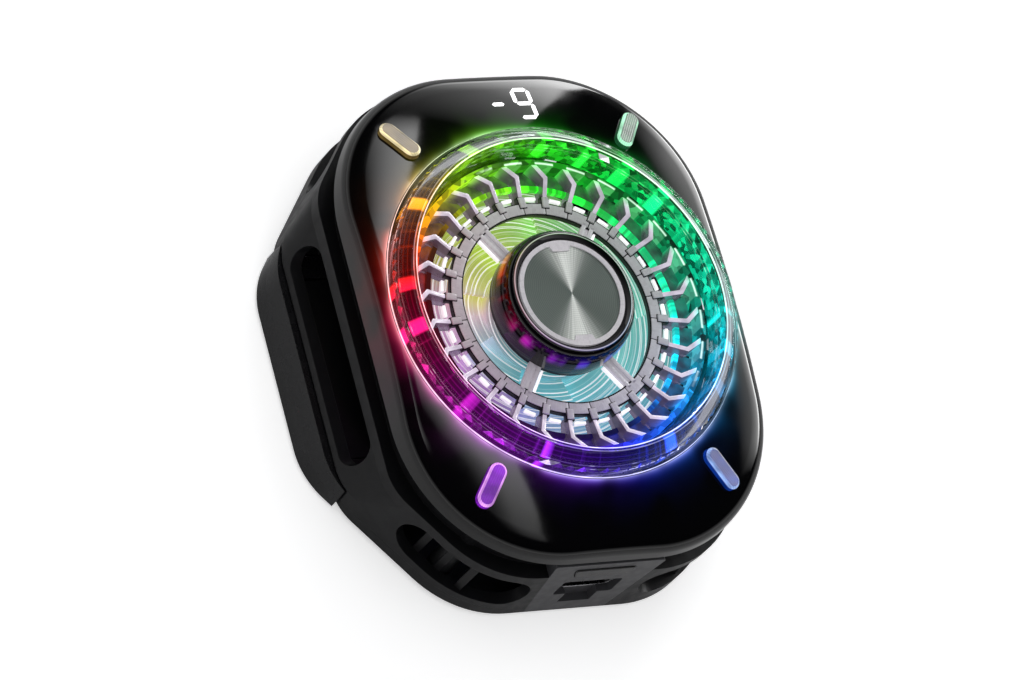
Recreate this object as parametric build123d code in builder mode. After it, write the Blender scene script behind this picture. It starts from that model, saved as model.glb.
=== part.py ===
from build123d import *
import os
from math import asin, atan2, cos, degrees, hypot, pi, radians, sin, sqrt, tan

os.makedirs("parts", exist_ok=True)

# Phone cooler that lies on its cold face: +Z is out of the fan, the phone is at z = 0,
# and the socket and the button are on the -Y side. The plan grows from the light ring, and the
# height is what the cold side, the heat sink, the fan and the light ring add up to.

# Light ring, and how far the front shell reaches past it
ring_radius = 27.5
shell_side_margin = 2.0
shell_end_margin = 10.5

# Clearances
slide_gap = 0.3  # between pieces that move past each other
seat_gap = 0.1  # round a piece that is dropped into its place
pin_gap = 0.05  # round a hinge pin or the fan shaft
rotor_gap = 0.4  # above the fan rotor

# Plan outline of the frame: flat sides, flat ends and four long flat corners
corner_angle = 38.1  # direction in which a flat corner faces, from the X axis
corner_overhang = 0.07  # of the shell's corner past the flat corner
side_bend = 9.0  # outline radius between a side and a corner
end_bend = 17.0  # outline radius between a corner and an end

# Middle frame
frame_wall = 1.8
neck_height = 3.7  # frame top to deck
strip_drop = 2.0  # upright strip under the top edge
side_step = 0.1  # the frame's top stands out this far past the shell's side
end_step = 0.2  # and this far past its end
strip_flare = 0.3  # the side leans out over the strip
side_flare = 3.1  # and over the rest of its height
arm_seat_depth = 1.0  # the frame is cut back this far for the clamp arms

# Front shell
shell_corner_inset = 5.0  # the plan's corners are this much tighter than the light ring
shell_wall = 1.5
shell_draft = 4.0
dome_radius = 150.0
shoulder_radius = 2.2

# Neck and deck of the frame, inside the front shell
neck_wall = 1.5
deck_thickness = 1.2
deck_lip = 1.1  # the deck reaches this far in under the grille

# Ring lens, prisms and diodes
ring_lean = 3.2  # the rim lies this far in from the foot
lens_inner_lean = 1.1
lens_wall = 1.0
lens_foot_drop = 0.6
lens_shoulder_rise = 1.7  # the lens turns in from here to its rim
lens_shoulder_inset = 0.6
lens_cap_rise = 2.0
board_thickness = 0.8
prism_count = 90
prism_height = 1.4
prism_thickness = 0.9
prism_inset = 1.6
prism_fill = 0.94
prism_setback = 0.1
ring_led_count = 24
led_size = 1.6
led_height = 0.7
led_inset = 2.0
light_board_setback = 0.8

# Light capsules
spoke_angle = 55.24  # direction of a capsule and of a spoke, from the X axis
capsule_reach = 5.3  # light ring to the capsule's middle
capsule_length = 7.0
capsule_width = 2.6
capsule_rise = 1.0
capsule_bevel = 0.45
capsule_led_height = 0.6

# Front grille
vane_count = 28
vane_thickness = 0.6
vane_setback = 0.3  # the vanes start this far from the inner ring, on its blocks
vane_outer_length = 2.5  # from the kink out
vane_bend = 5.0  # degrees that the outer end lies round from the inner one
vane_kink_shift = 0.25
grille_vane_lift = 0.6
grille_rim = 0.8
grille_height = 3.8
inner_ring_shift = 1.05  # in from halfway between the hub and the rim
inner_ring_width = 1.6
inner_ring_thickness = 0.9
inner_ring_lift = 2.7
block_size = 1.1
block_rise = 0.35
mid_ring_inset = 3.1
mid_ring_width = 0.7
mid_ring_height = 0.9
spoke_width = 1.9
spoke_groove = 0.3

# Hub on the grille
hub_cover = 1.5  # the hub reaches this far past the rotor's cup
hub_seat_inset = 0.4
hub_lean = 1.2
hub_wall = 1.1
hub_lip = 0.4
hub_floor_drop = 0.9
hub_belt_drop = 4.0
trim_inset = 1.1
trim_width = 0.7
trim_height = 0.5
trim_tab_width = 3.6
trim_tab_depth = 1.0
disc_thickness = 0.35

# Display
digit_height = 5.6
digit_width = 3.2
segment_width = 0.62
segment_gap = 0.22
digit_x = 3.2
digit_reach = 4.7  # light ring to the digit's middle
minus_x = -1.1
minus_length = 2.0
display_led_height = 0.4
glow_rise = 0.05  # segments stand this far out of the dome

# Cold side
plate_size = 32.4
pad_inset = 0.2
pad_thickness = 0.5
plate_flange = 1.8
flange_thickness = 1.0
plate_thickness = 2.5
plate_corner = 1.5
peltier_inset = 1.2
peltier_legs = 6
peltier_leg_width = 2.8
peltier_leg_margin = 0.6
peltier_thickness = 3.4
ceramic_thickness = 0.7
foam_wall = 0.8

# Heat sink
sink_inset = 0.9  # the round base is this much smaller than the light ring
sink_base = 1.4
fin_height = 3.9
fin_thickness = 0.45
fin_pitch = 1.75
fin_lean = 24.0
fin_margin = 3.6
sink_boss_radius = 9.2
sink_ear_inset_x = 6.6
sink_ear_inset_y = 3.6
sink_ear_radius = 2.6

# Fan
fan_base_thickness = 0.8
fan_base_radius = 8.6
bearing_tube_radius = 2.2
bush_radius = 1.5
shaft_radius = 0.75
rotor_inset = 0.6  # the rotor is this much smaller than the deck's hole
rotor_height = 4.4
rotor_cup_radius = 9.1
rotor_cup_wall = 0.8
rotor_cup_height = 3.9
blade_count = 9
blade_thickness = 0.8
blade_root_chord = 7.4
blade_tip_chord = 11.0
blade_root_pitch = 36.0
blade_tip_pitch = 24.0
magnet_thickness = 1.0
magnet_height = 2.6
stator_tooth_count = 6
stator_radius = 6.7
stator_height = 1.6
coil_height = 0.55
motor_board_thickness = 0.5
tooth_width = 1.2
pole_thickness = 0.8
pole_width = 4.4
coil_radius = 4.45
coil_length = 1.9

# Rear cover
rear_face_z = 0.6
pocket_roof = 0.8
pocket_wall = 1.2
rear_chamfer = 0.5
board_post_x = 7.0
board_post_setback = 4.4
board_post_radius = 1.0

# Clamp arms and claws
arm_rise = 2.4  # above the frame's bottom edge
arm_crease_rise = 2.0
arm_top_reach = 2.0
arm_crease_reach = 1.0
arm_foot_reach = 1.0
arm_bend = 12.5
rail_width = 3.4
rail_thickness = 1.4
rail_setback = 0.6  # the rails end this far from the foam frame
lug_length = 1.2
lug_reach = 2.2
guide_length = 4.2
guide_width = 0.8
claw_axis_inset = 1.9
claw_barrel_radius = 0.9
claw_pin_radius = 0.4
claw_setback = 3.1  # the folded claws end this far from the cold plate
claw_thickness = 1.4
claw_lip_height = 1.2
claw_lip_thickness = 1.3
claw_pad_thickness = 0.6
ear_width = 3.0
spring_radius = 1.0
post_x = 4.0
post_length = 1.2

# Screws
rear_screw_inset = 8.5  # from the light ring, towards the middle in X
rear_screw_reach = 3.0  # from the light ring, outwards in Y
shell_screw_inset = 15.0
shell_screw_reach = 4.5
screw_radius = 0.8
screw_head_radius = 1.6
screw_head_height = 1.0
screw_length = 6.0
boss_radius = 1.9
screw_hex_radius = 0.8
sink_screw_reach = 3.6
shell_screw_bite = 1.0

# Vents
side_vent_setback = 1.7  # from each end of the flat side
side_vent_height = 5.2
corner_vent_height = 7.6
corner_vent_start = 10.0  # from the side edge of a flat corner
rib_width = 1.2
rib_depth = 2.8
rib_pitch = 4.0
rib_count = 3

# Port panel, socket and button
panel_depth = 2.0
panel_lift = 0.6
panel_bottom_half = 6.6
panel_top_half = 9.0
panel_bend = 0.5
panel_margin = 0.2  # between the panel and the vents beside it
socket_drop = 5.3  # button to socket
socket_width = 8.94
socket_height = 3.26
socket_depth = 7.3
socket_wall = 0.3
socket_setback = 0.8
tongue_width = 6.7
tongue_thickness = 0.7
main_board_width = 18.0
main_board_length = 7.7
port_width = 9.6
port_height = 4.4
thumb_width = 5.2
thumb_height = 2.9
thumb_depth = 1.2
button_drop = 2.9  # below the panel's top edge
button_height = 2.6
button_top_width = 10.2
button_bottom_width = 8.2
button_proud = 0.2
button_travel = 0.5
button_flange = 0.7
button_flange_reach = 0.6
switch_width = 4.0
switch_height = 2.0
switch_nub = 0.3
switch_board_width = 9.0

# Plan sizes, from the light ring out
shell_width = 2 * (ring_radius + shell_side_margin)
shell_length = 2 * (ring_radius + shell_end_margin)
shell_corner = ring_radius - shell_corner_inset
frame_top_half = shell_width / 2 + side_step
strip_half = frame_top_half + strip_flare
flare_half = strip_half + side_flare
length_half = shell_length / 2 + end_step
corner_reach = ((shell_width / 2 - shell_corner) * cos(radians(corner_angle))
                + (shell_length / 2 - shell_corner) * sin(radians(corner_angle))
                + shell_corner - corner_overhang)
neck_half_x = shell_width / 2 - shell_wall - slide_gap
neck_half_y = shell_length / 2 - shell_wall - slide_gap
neck_corner = shell_corner - shell_wall - slide_gap
light_board_half_y = neck_half_y - light_board_setback
arm_seat_half = flare_half - arm_seat_depth
arm_top_half = arm_seat_half + arm_top_reach
arm_crease_half = arm_top_half + arm_crease_reach
width_half = arm_crease_half + arm_foot_reach
capsule_radius = ring_radius + capsule_reach
capsule_x = capsule_radius * cos(radians(spoke_angle))
capsule_y = capsule_radius * sin(radians(spoke_angle))
digit_y = ring_radius + digit_reach
display_reach = hypot(digit_x + digit_width / 2 + minus_length / 4, digit_y + digit_height / 2)
rear_screw_x = ring_radius - rear_screw_inset
rear_screw_y = ring_radius + rear_screw_reach
shell_screw_x = ring_radius - shell_screw_inset
shell_screw_y = ring_radius + shell_screw_reach
quadrants = [(1, 1), (-1, 1), (-1, -1), (1, -1)]


# Fall of the dome from its top to a circle round the axis
def dome_drop(radius):
    return dome_radius - sqrt(dome_radius**2 - radius**2)


# Heights, from the phone up
plate_top_z = pad_thickness + plate_thickness
frame_bottom_z = plate_top_z
sink_bottom_z = plate_top_z + peltier_thickness
sink_top_z = sink_bottom_z + sink_base
fin_top_z = sink_top_z + fin_height
sink_boss_top_z = fin_top_z + slide_gap
fan_base_top_z = sink_boss_top_z + fan_base_thickness
rotor_top_z = fan_base_top_z + rotor_height
deck_bottom_z = rotor_top_z + rotor_gap
deck_top_z = deck_bottom_z + deck_thickness
board_top_z = deck_top_z + board_thickness
ring_base_z = (board_top_z + display_led_height + seat_gap + shell_wall
               + dome_drop(display_reach) - dome_drop(ring_radius))
lens_foot_z = ring_base_z - lens_foot_drop
lens_shoulder_z = ring_base_z + lens_shoulder_rise
cooler_height = lens_shoulder_z + lens_cap_rise
dome_top_z = ring_base_z + dome_drop(ring_radius)
shell_edge_z = deck_bottom_z + slide_gap
frame_top_z = deck_bottom_z - neck_height
strip_z = frame_top_z - strip_drop
cavity_top_z = frame_top_z - frame_wall
arm_top_z = frame_bottom_z + arm_rise
arm_crease_z = rear_face_z + arm_crease_rise
flare_bottom_z = arm_top_z + slide_gap + seat_gap
inner_ring_top_z = deck_top_z + inner_ring_lift
vane_inner_top_z = inner_ring_top_z - seat_gap
hub_belt_z = cooler_height - hub_belt_drop
panel_bottom_z = rear_face_z + panel_lift
panel_top_z = deck_bottom_z - seat_gap
button_z = panel_top_z - button_drop
socket_z = button_z - socket_drop
main_board_z = socket_z - socket_height / 2 - board_thickness
side_vent_z = strip_z - side_vent_height / 2
corner_vent_z = strip_z + seat_gap - corner_vent_height / 2
rail_bottom_z = frame_bottom_z + slide_gap
rail_top_z = rail_bottom_z + rail_thickness
claw_axis_z = rear_face_z + claw_barrel_radius + seat_gap
claw_bottom_z = claw_axis_z - claw_barrel_radius
claw_top_z = claw_bottom_z + claw_thickness
claw_lip_top_z = claw_top_z + claw_lip_height
claw_roof_z = claw_lip_top_z + slide_gap

# Plan sizes, from the light ring in
ring_rim_radius = ring_radius - ring_lean
lens_shoulder_radius = ring_radius - lens_shoulder_inset
prism_outer_radius = ring_radius - prism_inset
prism_half = pi * prism_outer_radius / prism_count * prism_fill
led_circle_radius = ring_radius - led_inset
lens_inner_radius = ring_rim_radius - lens_inner_lean
grille_outer_radius = lens_inner_radius - seat_gap
deck_hole_radius = grille_outer_radius - deck_lip
rotor_radius = deck_hole_radius - rotor_inset
vane_kink_radius = grille_outer_radius - vane_outer_length
mid_ring_radius = grille_outer_radius - mid_ring_inset
hub_radius = rotor_cup_radius + hub_cover
inner_ring_middle = (hub_radius + grille_outer_radius) / 2 - inner_ring_shift
inner_ring_outer_radius = inner_ring_middle + inner_ring_width / 2
inner_ring_inner_radius = inner_ring_middle - inner_ring_width / 2
vane_inner_radius = inner_ring_outer_radius + vane_setback
hub_seat_radius = hub_radius - hub_seat_inset
hub_rim_radius = hub_radius - hub_lean
trim_outer_radius = hub_rim_radius - trim_inset
trim_inner_radius = trim_outer_radius - trim_width
sink_radius = ring_radius - sink_inset
fin_field = 2 * (sink_radius - fin_margin)
sink_ear_x = sink_radius - sink_ear_inset_x
sink_ear_y = sink_radius - sink_ear_inset_y
sink_ear_angle = degrees(atan2(sink_ear_y, sink_ear_x))

# Cold side, and the clamp between the cold plate and the arm's outer wall
pad_size = plate_size - 2 * pad_inset
peltier_size = plate_size - 2 * peltier_inset
peltier_pitch = (peltier_size - 2 * peltier_leg_margin) / peltier_legs
foam_half = peltier_size / 2 + seat_gap + foam_wall
flange_half = plate_size / 2 + plate_flange
claw_axis_x = arm_crease_half - claw_axis_inset
claw_tip_x = flange_half + claw_setback
claw_length = claw_axis_x - claw_tip_x
claw_swing = hypot(claw_length, claw_lip_top_z - claw_axis_z)
claw_pad_length = claw_length - claw_lip_thickness - claw_barrel_radius - 2 * slide_gap
pocket_inner_x = claw_axis_x - claw_swing - slide_gap
pocket_outer_x = pocket_inner_x - pocket_wall
rail_y = foam_half + seat_gap
claw_pocket_half = rail_y - rail_width / 2 - slide_gap - pocket_wall
claw_width = 2 * (claw_pocket_half - slide_gap)
rail_end_x = foam_half + rail_setback
arm_inner_x = arm_seat_half + slide_gap
guide_end_x = arm_seat_half - frame_wall
guide_start_x = guide_end_x - guide_length
guide_y = rail_y + rail_width / 2 + slide_gap + guide_width / 2
spring_y = rail_y + rail_width / 2 + slide_gap + spring_radius

# Port panel, main board and vents
panel_plane = Plane(origin=(0, -length_half, 0), x_dir=(1, 0, 0), z_dir=(0, -1, 0))
main_board_end_y = length_half - panel_depth - slide_gap
main_board_start_y = main_board_end_y - main_board_length
board_post_y = board_post_setback - main_board_end_y
corner_edge_y = (corner_reach - flare_half * cos(radians(corner_angle))) / sin(radians(corner_angle))
corner_edge_shift = (flare_half - corner_reach * cos(radians(corner_angle))) / sin(radians(corner_angle))
end_vertex_x = (corner_reach - length_half * sin(radians(corner_angle))) / cos(radians(corner_angle))
corner_span = hypot(flare_half - end_vertex_x, length_half - corner_edge_y)
side_vent_length = 2 * (corner_edge_y - side_vent_setback)
corner_vent_length = corner_span - corner_vent_start + corner_vent_height / 2
corner_vent_shift = corner_vent_start + corner_vent_length / 2 - corner_edge_shift
corner_vent_inner_x = panel_top_half + panel_margin
end_vent_length = end_vertex_x + corner_vent_height - corner_vent_inner_x
end_vent_x = corner_vent_inner_x + end_vent_length / 2
rib_shift = corner_vent_start - corner_edge_shift + rib_pitch


def dome_z(radius):
    return dome_top_z - dome_drop(radius)


# Planes that lie on the dome at the four light capsules, each with its X axis away from the centre
def capsule_plane(sx, sy):
    slope = asin(capsule_radius / dome_radius)
    out = Vector(sx * capsule_x, sy * capsule_y, 0) / capsule_radius
    return Plane(origin=(sx * capsule_x, sy * capsule_y, dome_z(capsule_radius)),
                 x_dir=out * cos(slope) - Vector(0, 0, sin(slope)),
                 z_dir=out * sin(slope) + Vector(0, 0, cos(slope)))


# Octagonal plan outline with the given half width, drawn in by a margin on every side
def plan_face(half_x, margin=0.0, side_radius=side_bend):
    x, y = half_x - margin, length_half - margin
    reach = corner_reach - margin
    side_y = (reach - x * cos(radians(corner_angle))) / sin(radians(corner_angle))
    end_x = (reach - y * sin(radians(corner_angle))) / cos(radians(corner_angle))
    with BuildSketch(mode=Mode.PRIVATE) as face:
        with BuildLine():
            Polyline((x, -side_y), (x, side_y), (end_x, y), (-end_x, y), (-x, side_y),
                     (-x, -side_y), (-end_x, -y), (end_x, -y), close=True)
        make_face()
        corners = face.vertices().group_by(Axis.X)
        fillet(corners[0] + corners[-1], side_radius - margin)
        ends = face.vertices().filter_by(lambda v: abs(abs(v.Y) - y) < 0.01)
        fillet(ends, end_bend - margin)
    return face.sketch


# Tapered outline of the port panel
def panel_outline():
    with BuildSketch(mode=Mode.PRIVATE) as outline:
        with BuildLine():
            Polyline((-panel_bottom_half, panel_bottom_z), (panel_bottom_half, panel_bottom_z),
                     (panel_top_half, panel_top_z), (-panel_top_half, panel_top_z), close=True)
        make_face()
        fillet(outline.vertices(), panel_bend)
    return outline.sketch


# Tapered outline of the mode button, wide edge towards the front
def button_outline(margin):
    low, high = button_z - button_height / 2, button_z + button_height / 2
    with BuildSketch(mode=Mode.PRIVATE) as outline:
        with BuildLine():
            Polyline((-button_bottom_width / 2, low), (button_bottom_width / 2, low),
                     (button_top_width / 2, high), (-button_top_width / 2, high), close=True)
        make_face()
        fillet(outline.vertices(), panel_bend)
        if margin:
            offset(amount=margin)
    return outline.sketch


# One lit bar of the display, with pointed ends
def bar_outline(length, margin):
    end, half = length / 2 + margin, segment_width / 2 + margin
    with BuildSketch(mode=Mode.PRIVATE) as bar:
        with BuildLine():
            Polyline((-end, 0), (half - end, half), (end - half, half), (end, 0),
                     (end - half, -half), (half - end, -half), close=True)
        make_face()
    return bar.sketch


# Tab of the hub's trim ring that points at the centre, widened by a margin
def trim_tab(side, margin):
    half, tip = trim_tab_width / 2 + margin, trim_inner_radius - trim_tab_depth - margin
    with BuildSketch(mode=Mode.PRIVATE) as tab:
        with BuildLine():
            Polyline((-half, side * trim_inner_radius), (-half + trim_tab_depth / 2, side * tip),
                     (half - trim_tab_depth / 2, side * tip), (half, side * trim_inner_radius), close=True)
        make_face()
    return tab.sketch


# A minus sign and a nine in straight bars
def display_outline(margin):
    across = digit_width - segment_width - segment_gap
    upright = (digit_height - segment_width) / 2 - segment_gap
    side = (digit_width - segment_width) / 2
    level = (digit_height - segment_width) / 2
    with BuildSketch(mode=Mode.PRIVATE) as sign:
        with Locations((minus_x, digit_y)):
            add(bar_outline(minus_length, margin))
        with Locations(*[(digit_x, digit_y + step * level) for step in (-1, 0, 1)]):
            add(bar_outline(across, margin))
        uprights = [(side, level / 2), (side, -level / 2), (-side, level / 2)]
        with Locations(*[Location((digit_x + x, digit_y + y), 90) for x, y in uprights]):
            add(bar_outline(upright, margin))
    return sign.sketch


# Solid between the shell's edge and the dome, drawn in by a margin on every side
def dome_form(margin):
    with BuildPart(mode=Mode.PRIVATE) as form:
        with BuildSketch(Plane.XY.offset(shell_edge_z)):
            RectangleRounded(shell_width - 2 * margin, shell_length - 2 * margin, shell_corner - margin)
        extrude(amount=dome_top_z - shell_edge_z, taper=shell_draft)
        with Locations((0, 0, dome_top_z - dome_radius)):
            Sphere(dome_radius - margin, rotation=(90, 0, 0), mode=Mode.INTERSECT)
    return form.part


def save(piece, name):
    piece.label = name
    export_step(piece, "parts/" + name + ".step")


# Middle frame: flared wall, neck and deck, with the vents cut through the wall
with BuildPart() as mid_frame:
    levels = [(frame_bottom_z, flare_half), (flare_bottom_z, flare_half),
              (strip_z, strip_half), (frame_top_z, frame_top_half)]
    for level, half in levels:
        with BuildSketch(Plane.XY.offset(level)):
            add(plan_face(half))
    loft(ruled=True)
    with BuildSketch(Plane.XY.offset(cavity_top_z)):
        RectangleRounded(2 * neck_half_x, 2 * neck_half_y, neck_corner)
    extrude(amount=deck_top_z - cavity_top_z)
    # Inner space, up to the deck
    for level, half in levels[:3] + [(cavity_top_z, frame_top_half)]:
        with BuildSketch(Plane.XY.offset(level)):
            add(plan_face(half, frame_wall))
    loft(ruled=True, mode=Mode.SUBTRACT)
    with BuildSketch(Plane.XY.offset(cavity_top_z)):
        RectangleRounded(2 * (neck_half_x - neck_wall), 2 * (neck_half_y - neck_wall),
                         neck_corner - neck_wall)
    extrude(amount=deck_bottom_z - cavity_top_z, mode=Mode.SUBTRACT)
    with BuildSketch(Plane.XY.offset(deck_bottom_z)):
        Circle(deck_hole_radius)
        with Locations(*[(sx * shell_screw_x, sy * shell_screw_y) for sx, sy in quadrants]):
            Circle(screw_radius + seat_gap)
    extrude(amount=deck_thickness, mode=Mode.SUBTRACT)
    # Seat of the clamp arms, and the slot that their rails and claws pass through
    with BuildSketch(Plane.XY.offset(frame_bottom_z)):
        with Locations((arm_seat_half + frame_wall, 0), (-arm_seat_half - frame_wall, 0)):
            Rectangle(2 * frame_wall, 2 * arm_seat_half)
    extrude(amount=arm_top_z + slide_gap - frame_bottom_z, mode=Mode.SUBTRACT)
    with BuildSketch(Plane.YZ):
        with Locations((0, frame_bottom_z)):
            Rectangle(2 * rail_y + rail_width + 2 * slide_gap, 2 * (rail_top_z + slide_gap - frame_bottom_z))
    extrude(amount=width_half, both=True, mode=Mode.SUBTRACT)
    # Side vents
    with BuildSketch(Plane.YZ):
        with Locations((0, side_vent_z)):
            SlotOverall(side_vent_length, side_vent_height)
    extrude(amount=width_half, both=True, mode=Mode.SUBTRACT)
    # Corner vents: each runs along a flat corner and round on to the end
    for sx, sy in quadrants:
        facing = Vector(sx * cos(radians(corner_angle)), sy * sin(radians(corner_angle)), 0)
        along = Vector(-sx * sin(radians(corner_angle)), sy * cos(radians(corner_angle)), 0)
        with BuildSketch(Plane(origin=facing * corner_reach + along * corner_vent_shift
                               + Vector(0, 0, corner_vent_z), x_dir=along, z_dir=facing)):
            SlotOverall(corner_vent_length, corner_vent_height)
        extrude(amount=-2 * frame_wall, mode=Mode.SUBTRACT)
        with BuildSketch(Plane(origin=(sx * end_vent_x, sy * length_half, corner_vent_z),
                               x_dir=(1, 0, 0), z_dir=(0, sy, 0))):
            SlotOverall(end_vent_length, corner_vent_height)
        extrude(amount=-2 * frame_wall, mode=Mode.SUBTRACT)
    # Ribs behind the corner vents, and screw bosses
    with BuildSketch(Plane.XY.offset(frame_bottom_z)):
        inward = corner_reach - frame_wall - rib_depth / 2 + seat_gap
        for sx, sy in quadrants:
            for step in range(rib_count):
                shift = rib_shift + step * rib_pitch
                x = inward * cos(radians(corner_angle)) - shift * sin(radians(corner_angle))
                y = inward * sin(radians(corner_angle)) + shift * cos(radians(corner_angle))
                with Locations(Location((sx * x, sy * y), sx * sy * corner_angle)):
                    Rectangle(rib_depth, rib_width)
    extrude(amount=cavity_top_z - frame_bottom_z)
    with BuildSketch(Plane.XY.offset(frame_bottom_z)):
        with Locations(*[(sx * rear_screw_x, sy * rear_screw_y) for sx, sy in quadrants]):
            Circle(boss_radius)
    extrude(amount=deck_bottom_z - frame_bottom_z)
    with BuildSketch(Plane.XY.offset(sink_top_z)):
        with Locations(*[(sx * sink_ear_x, sy * sink_ear_y) for sx, sy in quadrants]):
            Circle(boss_radius)
    extrude(amount=deck_bottom_z - sink_top_z)
    with BuildSketch(Plane.XY.offset(frame_bottom_z)):
        with Locations(*[(sx * rear_screw_x, sy * rear_screw_y) for sx, sy in quadrants]):
            Circle(screw_radius)
    extrude(amount=screw_length, mode=Mode.SUBTRACT)
    with BuildSketch(Plane.XY.offset(sink_top_z)):
        with Locations(*[(sx * sink_ear_x, sy * sink_ear_y) for sx, sy in quadrants]):
            Circle(screw_radius)
    extrude(amount=sink_screw_reach, mode=Mode.SUBTRACT)
    # Notch for the port panel and window for the switch behind it
    with BuildSketch(panel_plane):
        add(panel_outline())
    extrude(amount=-panel_depth, mode=Mode.SUBTRACT)
    with BuildSketch(panel_plane):
        with Locations((0, button_z)):
            Rectangle(switch_width + 2 * seat_gap, switch_height + 2 * seat_gap)
    extrude(amount=-(panel_depth + neck_wall), mode=Mode.SUBTRACT)
save(mid_frame.part, "mid_frame")

# Port panel: a tapered plate let into the frame, with the port recess and the button's hole
with BuildPart() as port_panel:
    with BuildSketch(panel_plane):
        add(panel_outline())
    extrude(amount=-panel_depth)
    with BuildSketch(panel_plane):
        with Locations((0, socket_z)):
            RectangleRounded(port_width, port_height, panel_bend)
        add(button_outline(seat_gap))
    extrude(amount=-panel_depth, mode=Mode.SUBTRACT)
    with BuildSketch(panel_plane):
        with Locations((0, socket_z - port_height / 2 - thumb_height / 2)):
            Rectangle(thumb_width, thumb_height)
    extrude(amount=-thumb_depth, mode=Mode.SUBTRACT)
    with BuildSketch(panel_plane.offset(-panel_depth)):
        add(button_outline(button_flange_reach + seat_gap))
    extrude(amount=button_flange + button_travel, mode=Mode.SUBTRACT)
save(port_panel.part, "port_panel")

# Mode button: a tapered cap with a flange that keeps it in the panel
with BuildPart() as mode_button:
    with BuildSketch(panel_plane.offset(button_proud)):
        add(button_outline(0))
    extrude(amount=-(button_proud + panel_depth - button_travel))
    with BuildSketch(panel_plane.offset(button_travel - panel_depth)):
        add(button_outline(button_flange_reach))
    extrude(amount=button_flange - seat_gap)
    chamfer(mode_button.faces().sort_by(Axis.Y)[0].edges(), 0.15)
save(mode_button.part, "mode_button")

# Switch behind the button, in the neck's window, and the board that carries it
with BuildPart() as mode_switch:
    with BuildSketch(panel_plane.offset(-panel_depth - neck_wall)):
        with Locations((0, button_z)):
            Rectangle(switch_width, switch_height)
    extrude(amount=neck_wall - switch_nub - seat_gap)
    with BuildSketch(panel_plane.offset(-panel_depth - neck_wall)):
        with Locations((0, button_z)):
            Circle(switch_height / 4)
    extrude(amount=neck_wall - seat_gap)
save(mode_switch.part, "mode_switch")

with BuildPart() as switch_board:
    with BuildSketch(panel_plane.offset(-panel_depth - neck_wall)):
        with Locations((0, (cavity_top_z + deck_bottom_z) / 2)):
            Rectangle(switch_board_width, deck_bottom_z - cavity_top_z - 2 * slide_gap)
    extrude(amount=-board_thickness)
save(switch_board.part, "switch_board")

# Front shell: drafted sides under a shallow dome, hollow, with the ring, capsule and display holes
shell_outer = dome_form(0)
shell_inner = dome_form(shell_wall)
with BuildPart() as front_shell:
    add(shell_outer)
    fillet(front_shell.faces().sort_by(Axis.Z)[-1].outer_wire().edges(), shoulder_radius)
    add(shell_inner, mode=Mode.SUBTRACT)
    with BuildSketch(Plane.XY.offset(board_top_z)):
        with Locations(*[(sx * shell_screw_x, sy * shell_screw_y) for sx, sy in quadrants]):
            Circle(boss_radius)
    extrude(amount=dome_z(hypot(shell_screw_x, shell_screw_y)) - shell_wall / 2 - board_top_z)
    with BuildSketch(Plane.XY.offset(board_top_z)):
        with Locations(*[(sx * shell_screw_x, sy * shell_screw_y) for sx, sy in quadrants]):
            Circle(screw_radius)
    extrude(amount=shell_screw_bite, mode=Mode.SUBTRACT)
    with BuildSketch(Plane.XY.offset(shell_edge_z)):
        Circle(ring_radius + seat_gap)
    extrude(amount=cooler_height - shell_edge_z, mode=Mode.SUBTRACT)
    for sx, sy in quadrants:
        with BuildSketch(capsule_plane(sx, sy)):
            SlotOverall(capsule_length + 2 * seat_gap, capsule_width + 2 * seat_gap)
        extrude(amount=2 * shell_wall, both=True, mode=Mode.SUBTRACT)
    with BuildSketch(Plane.XY.offset(board_top_z)):
        add(display_outline(glow_rise))
    extrude(amount=cooler_height - board_top_z, mode=Mode.SUBTRACT)
save(front_shell.part, "front_shell")


# Light board: one plate on the deck, under the light ring, the capsules and the display
board_corner = neck_corner - seat_gap
with BuildPart() as light_board:
    with BuildSketch(Plane.XY.offset(deck_top_z)):
        RectangleRounded(2 * (neck_half_x - seat_gap), 2 * light_board_half_y, board_corner)
        Circle(lens_inner_radius + seat_gap, mode=Mode.SUBTRACT)
        with Locations(*[(sx * shell_screw_x, sy * shell_screw_y) for sx, sy in quadrants]):
            Circle(screw_radius + seat_gap, mode=Mode.SUBTRACT)
    extrude(amount=board_thickness)
save(light_board.part, "light_board")

# Light-emitting diodes: a circle of them under the prism ring, and one under each capsule
with BuildPart() as ring_leds:
    with BuildSketch(Plane.XY.offset(board_top_z)):
        with PolarLocations(led_circle_radius, ring_led_count):
            Rectangle(led_size, led_size)
    extrude(amount=led_height)
save(ring_leds.part, "ring_leds")

with BuildPart() as capsule_leds:
    with BuildSketch(Plane.XY.offset(board_top_z)):
        for sx, sy in quadrants:
            with Locations(Location((sx * capsule_x, sy * capsule_y), sx * sy * spoke_angle)):
                Rectangle(led_size, led_size)
    extrude(amount=capsule_led_height)
save(capsule_leds.part, "capsule_leds")

# Prism ring: a light guide with a crown of triangular prisms, standing on the diodes
with BuildPart() as prism:
    with BuildSketch(Plane.YZ.offset(prism_outer_radius - prism_thickness)):
        with BuildLine():
            Polyline((-prism_half, ring_base_z - seat_gap), (prism_half, ring_base_z - seat_gap),
                     (0, ring_base_z + prism_height), close=True)
        make_face()
    extrude(amount=prism_thickness - prism_setback)
with BuildPart() as prism_ring:
    with BuildSketch(Plane.XY.offset(board_top_z + led_height)):
        Circle(prism_outer_radius)
        Circle(prism_outer_radius - prism_thickness, mode=Mode.SUBTRACT)
    extrude(amount=ring_base_z - board_top_z - led_height)
    with PolarLocations(0, prism_count):
        add(prism.part)
save(prism_ring.part, "prism_ring")

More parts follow.
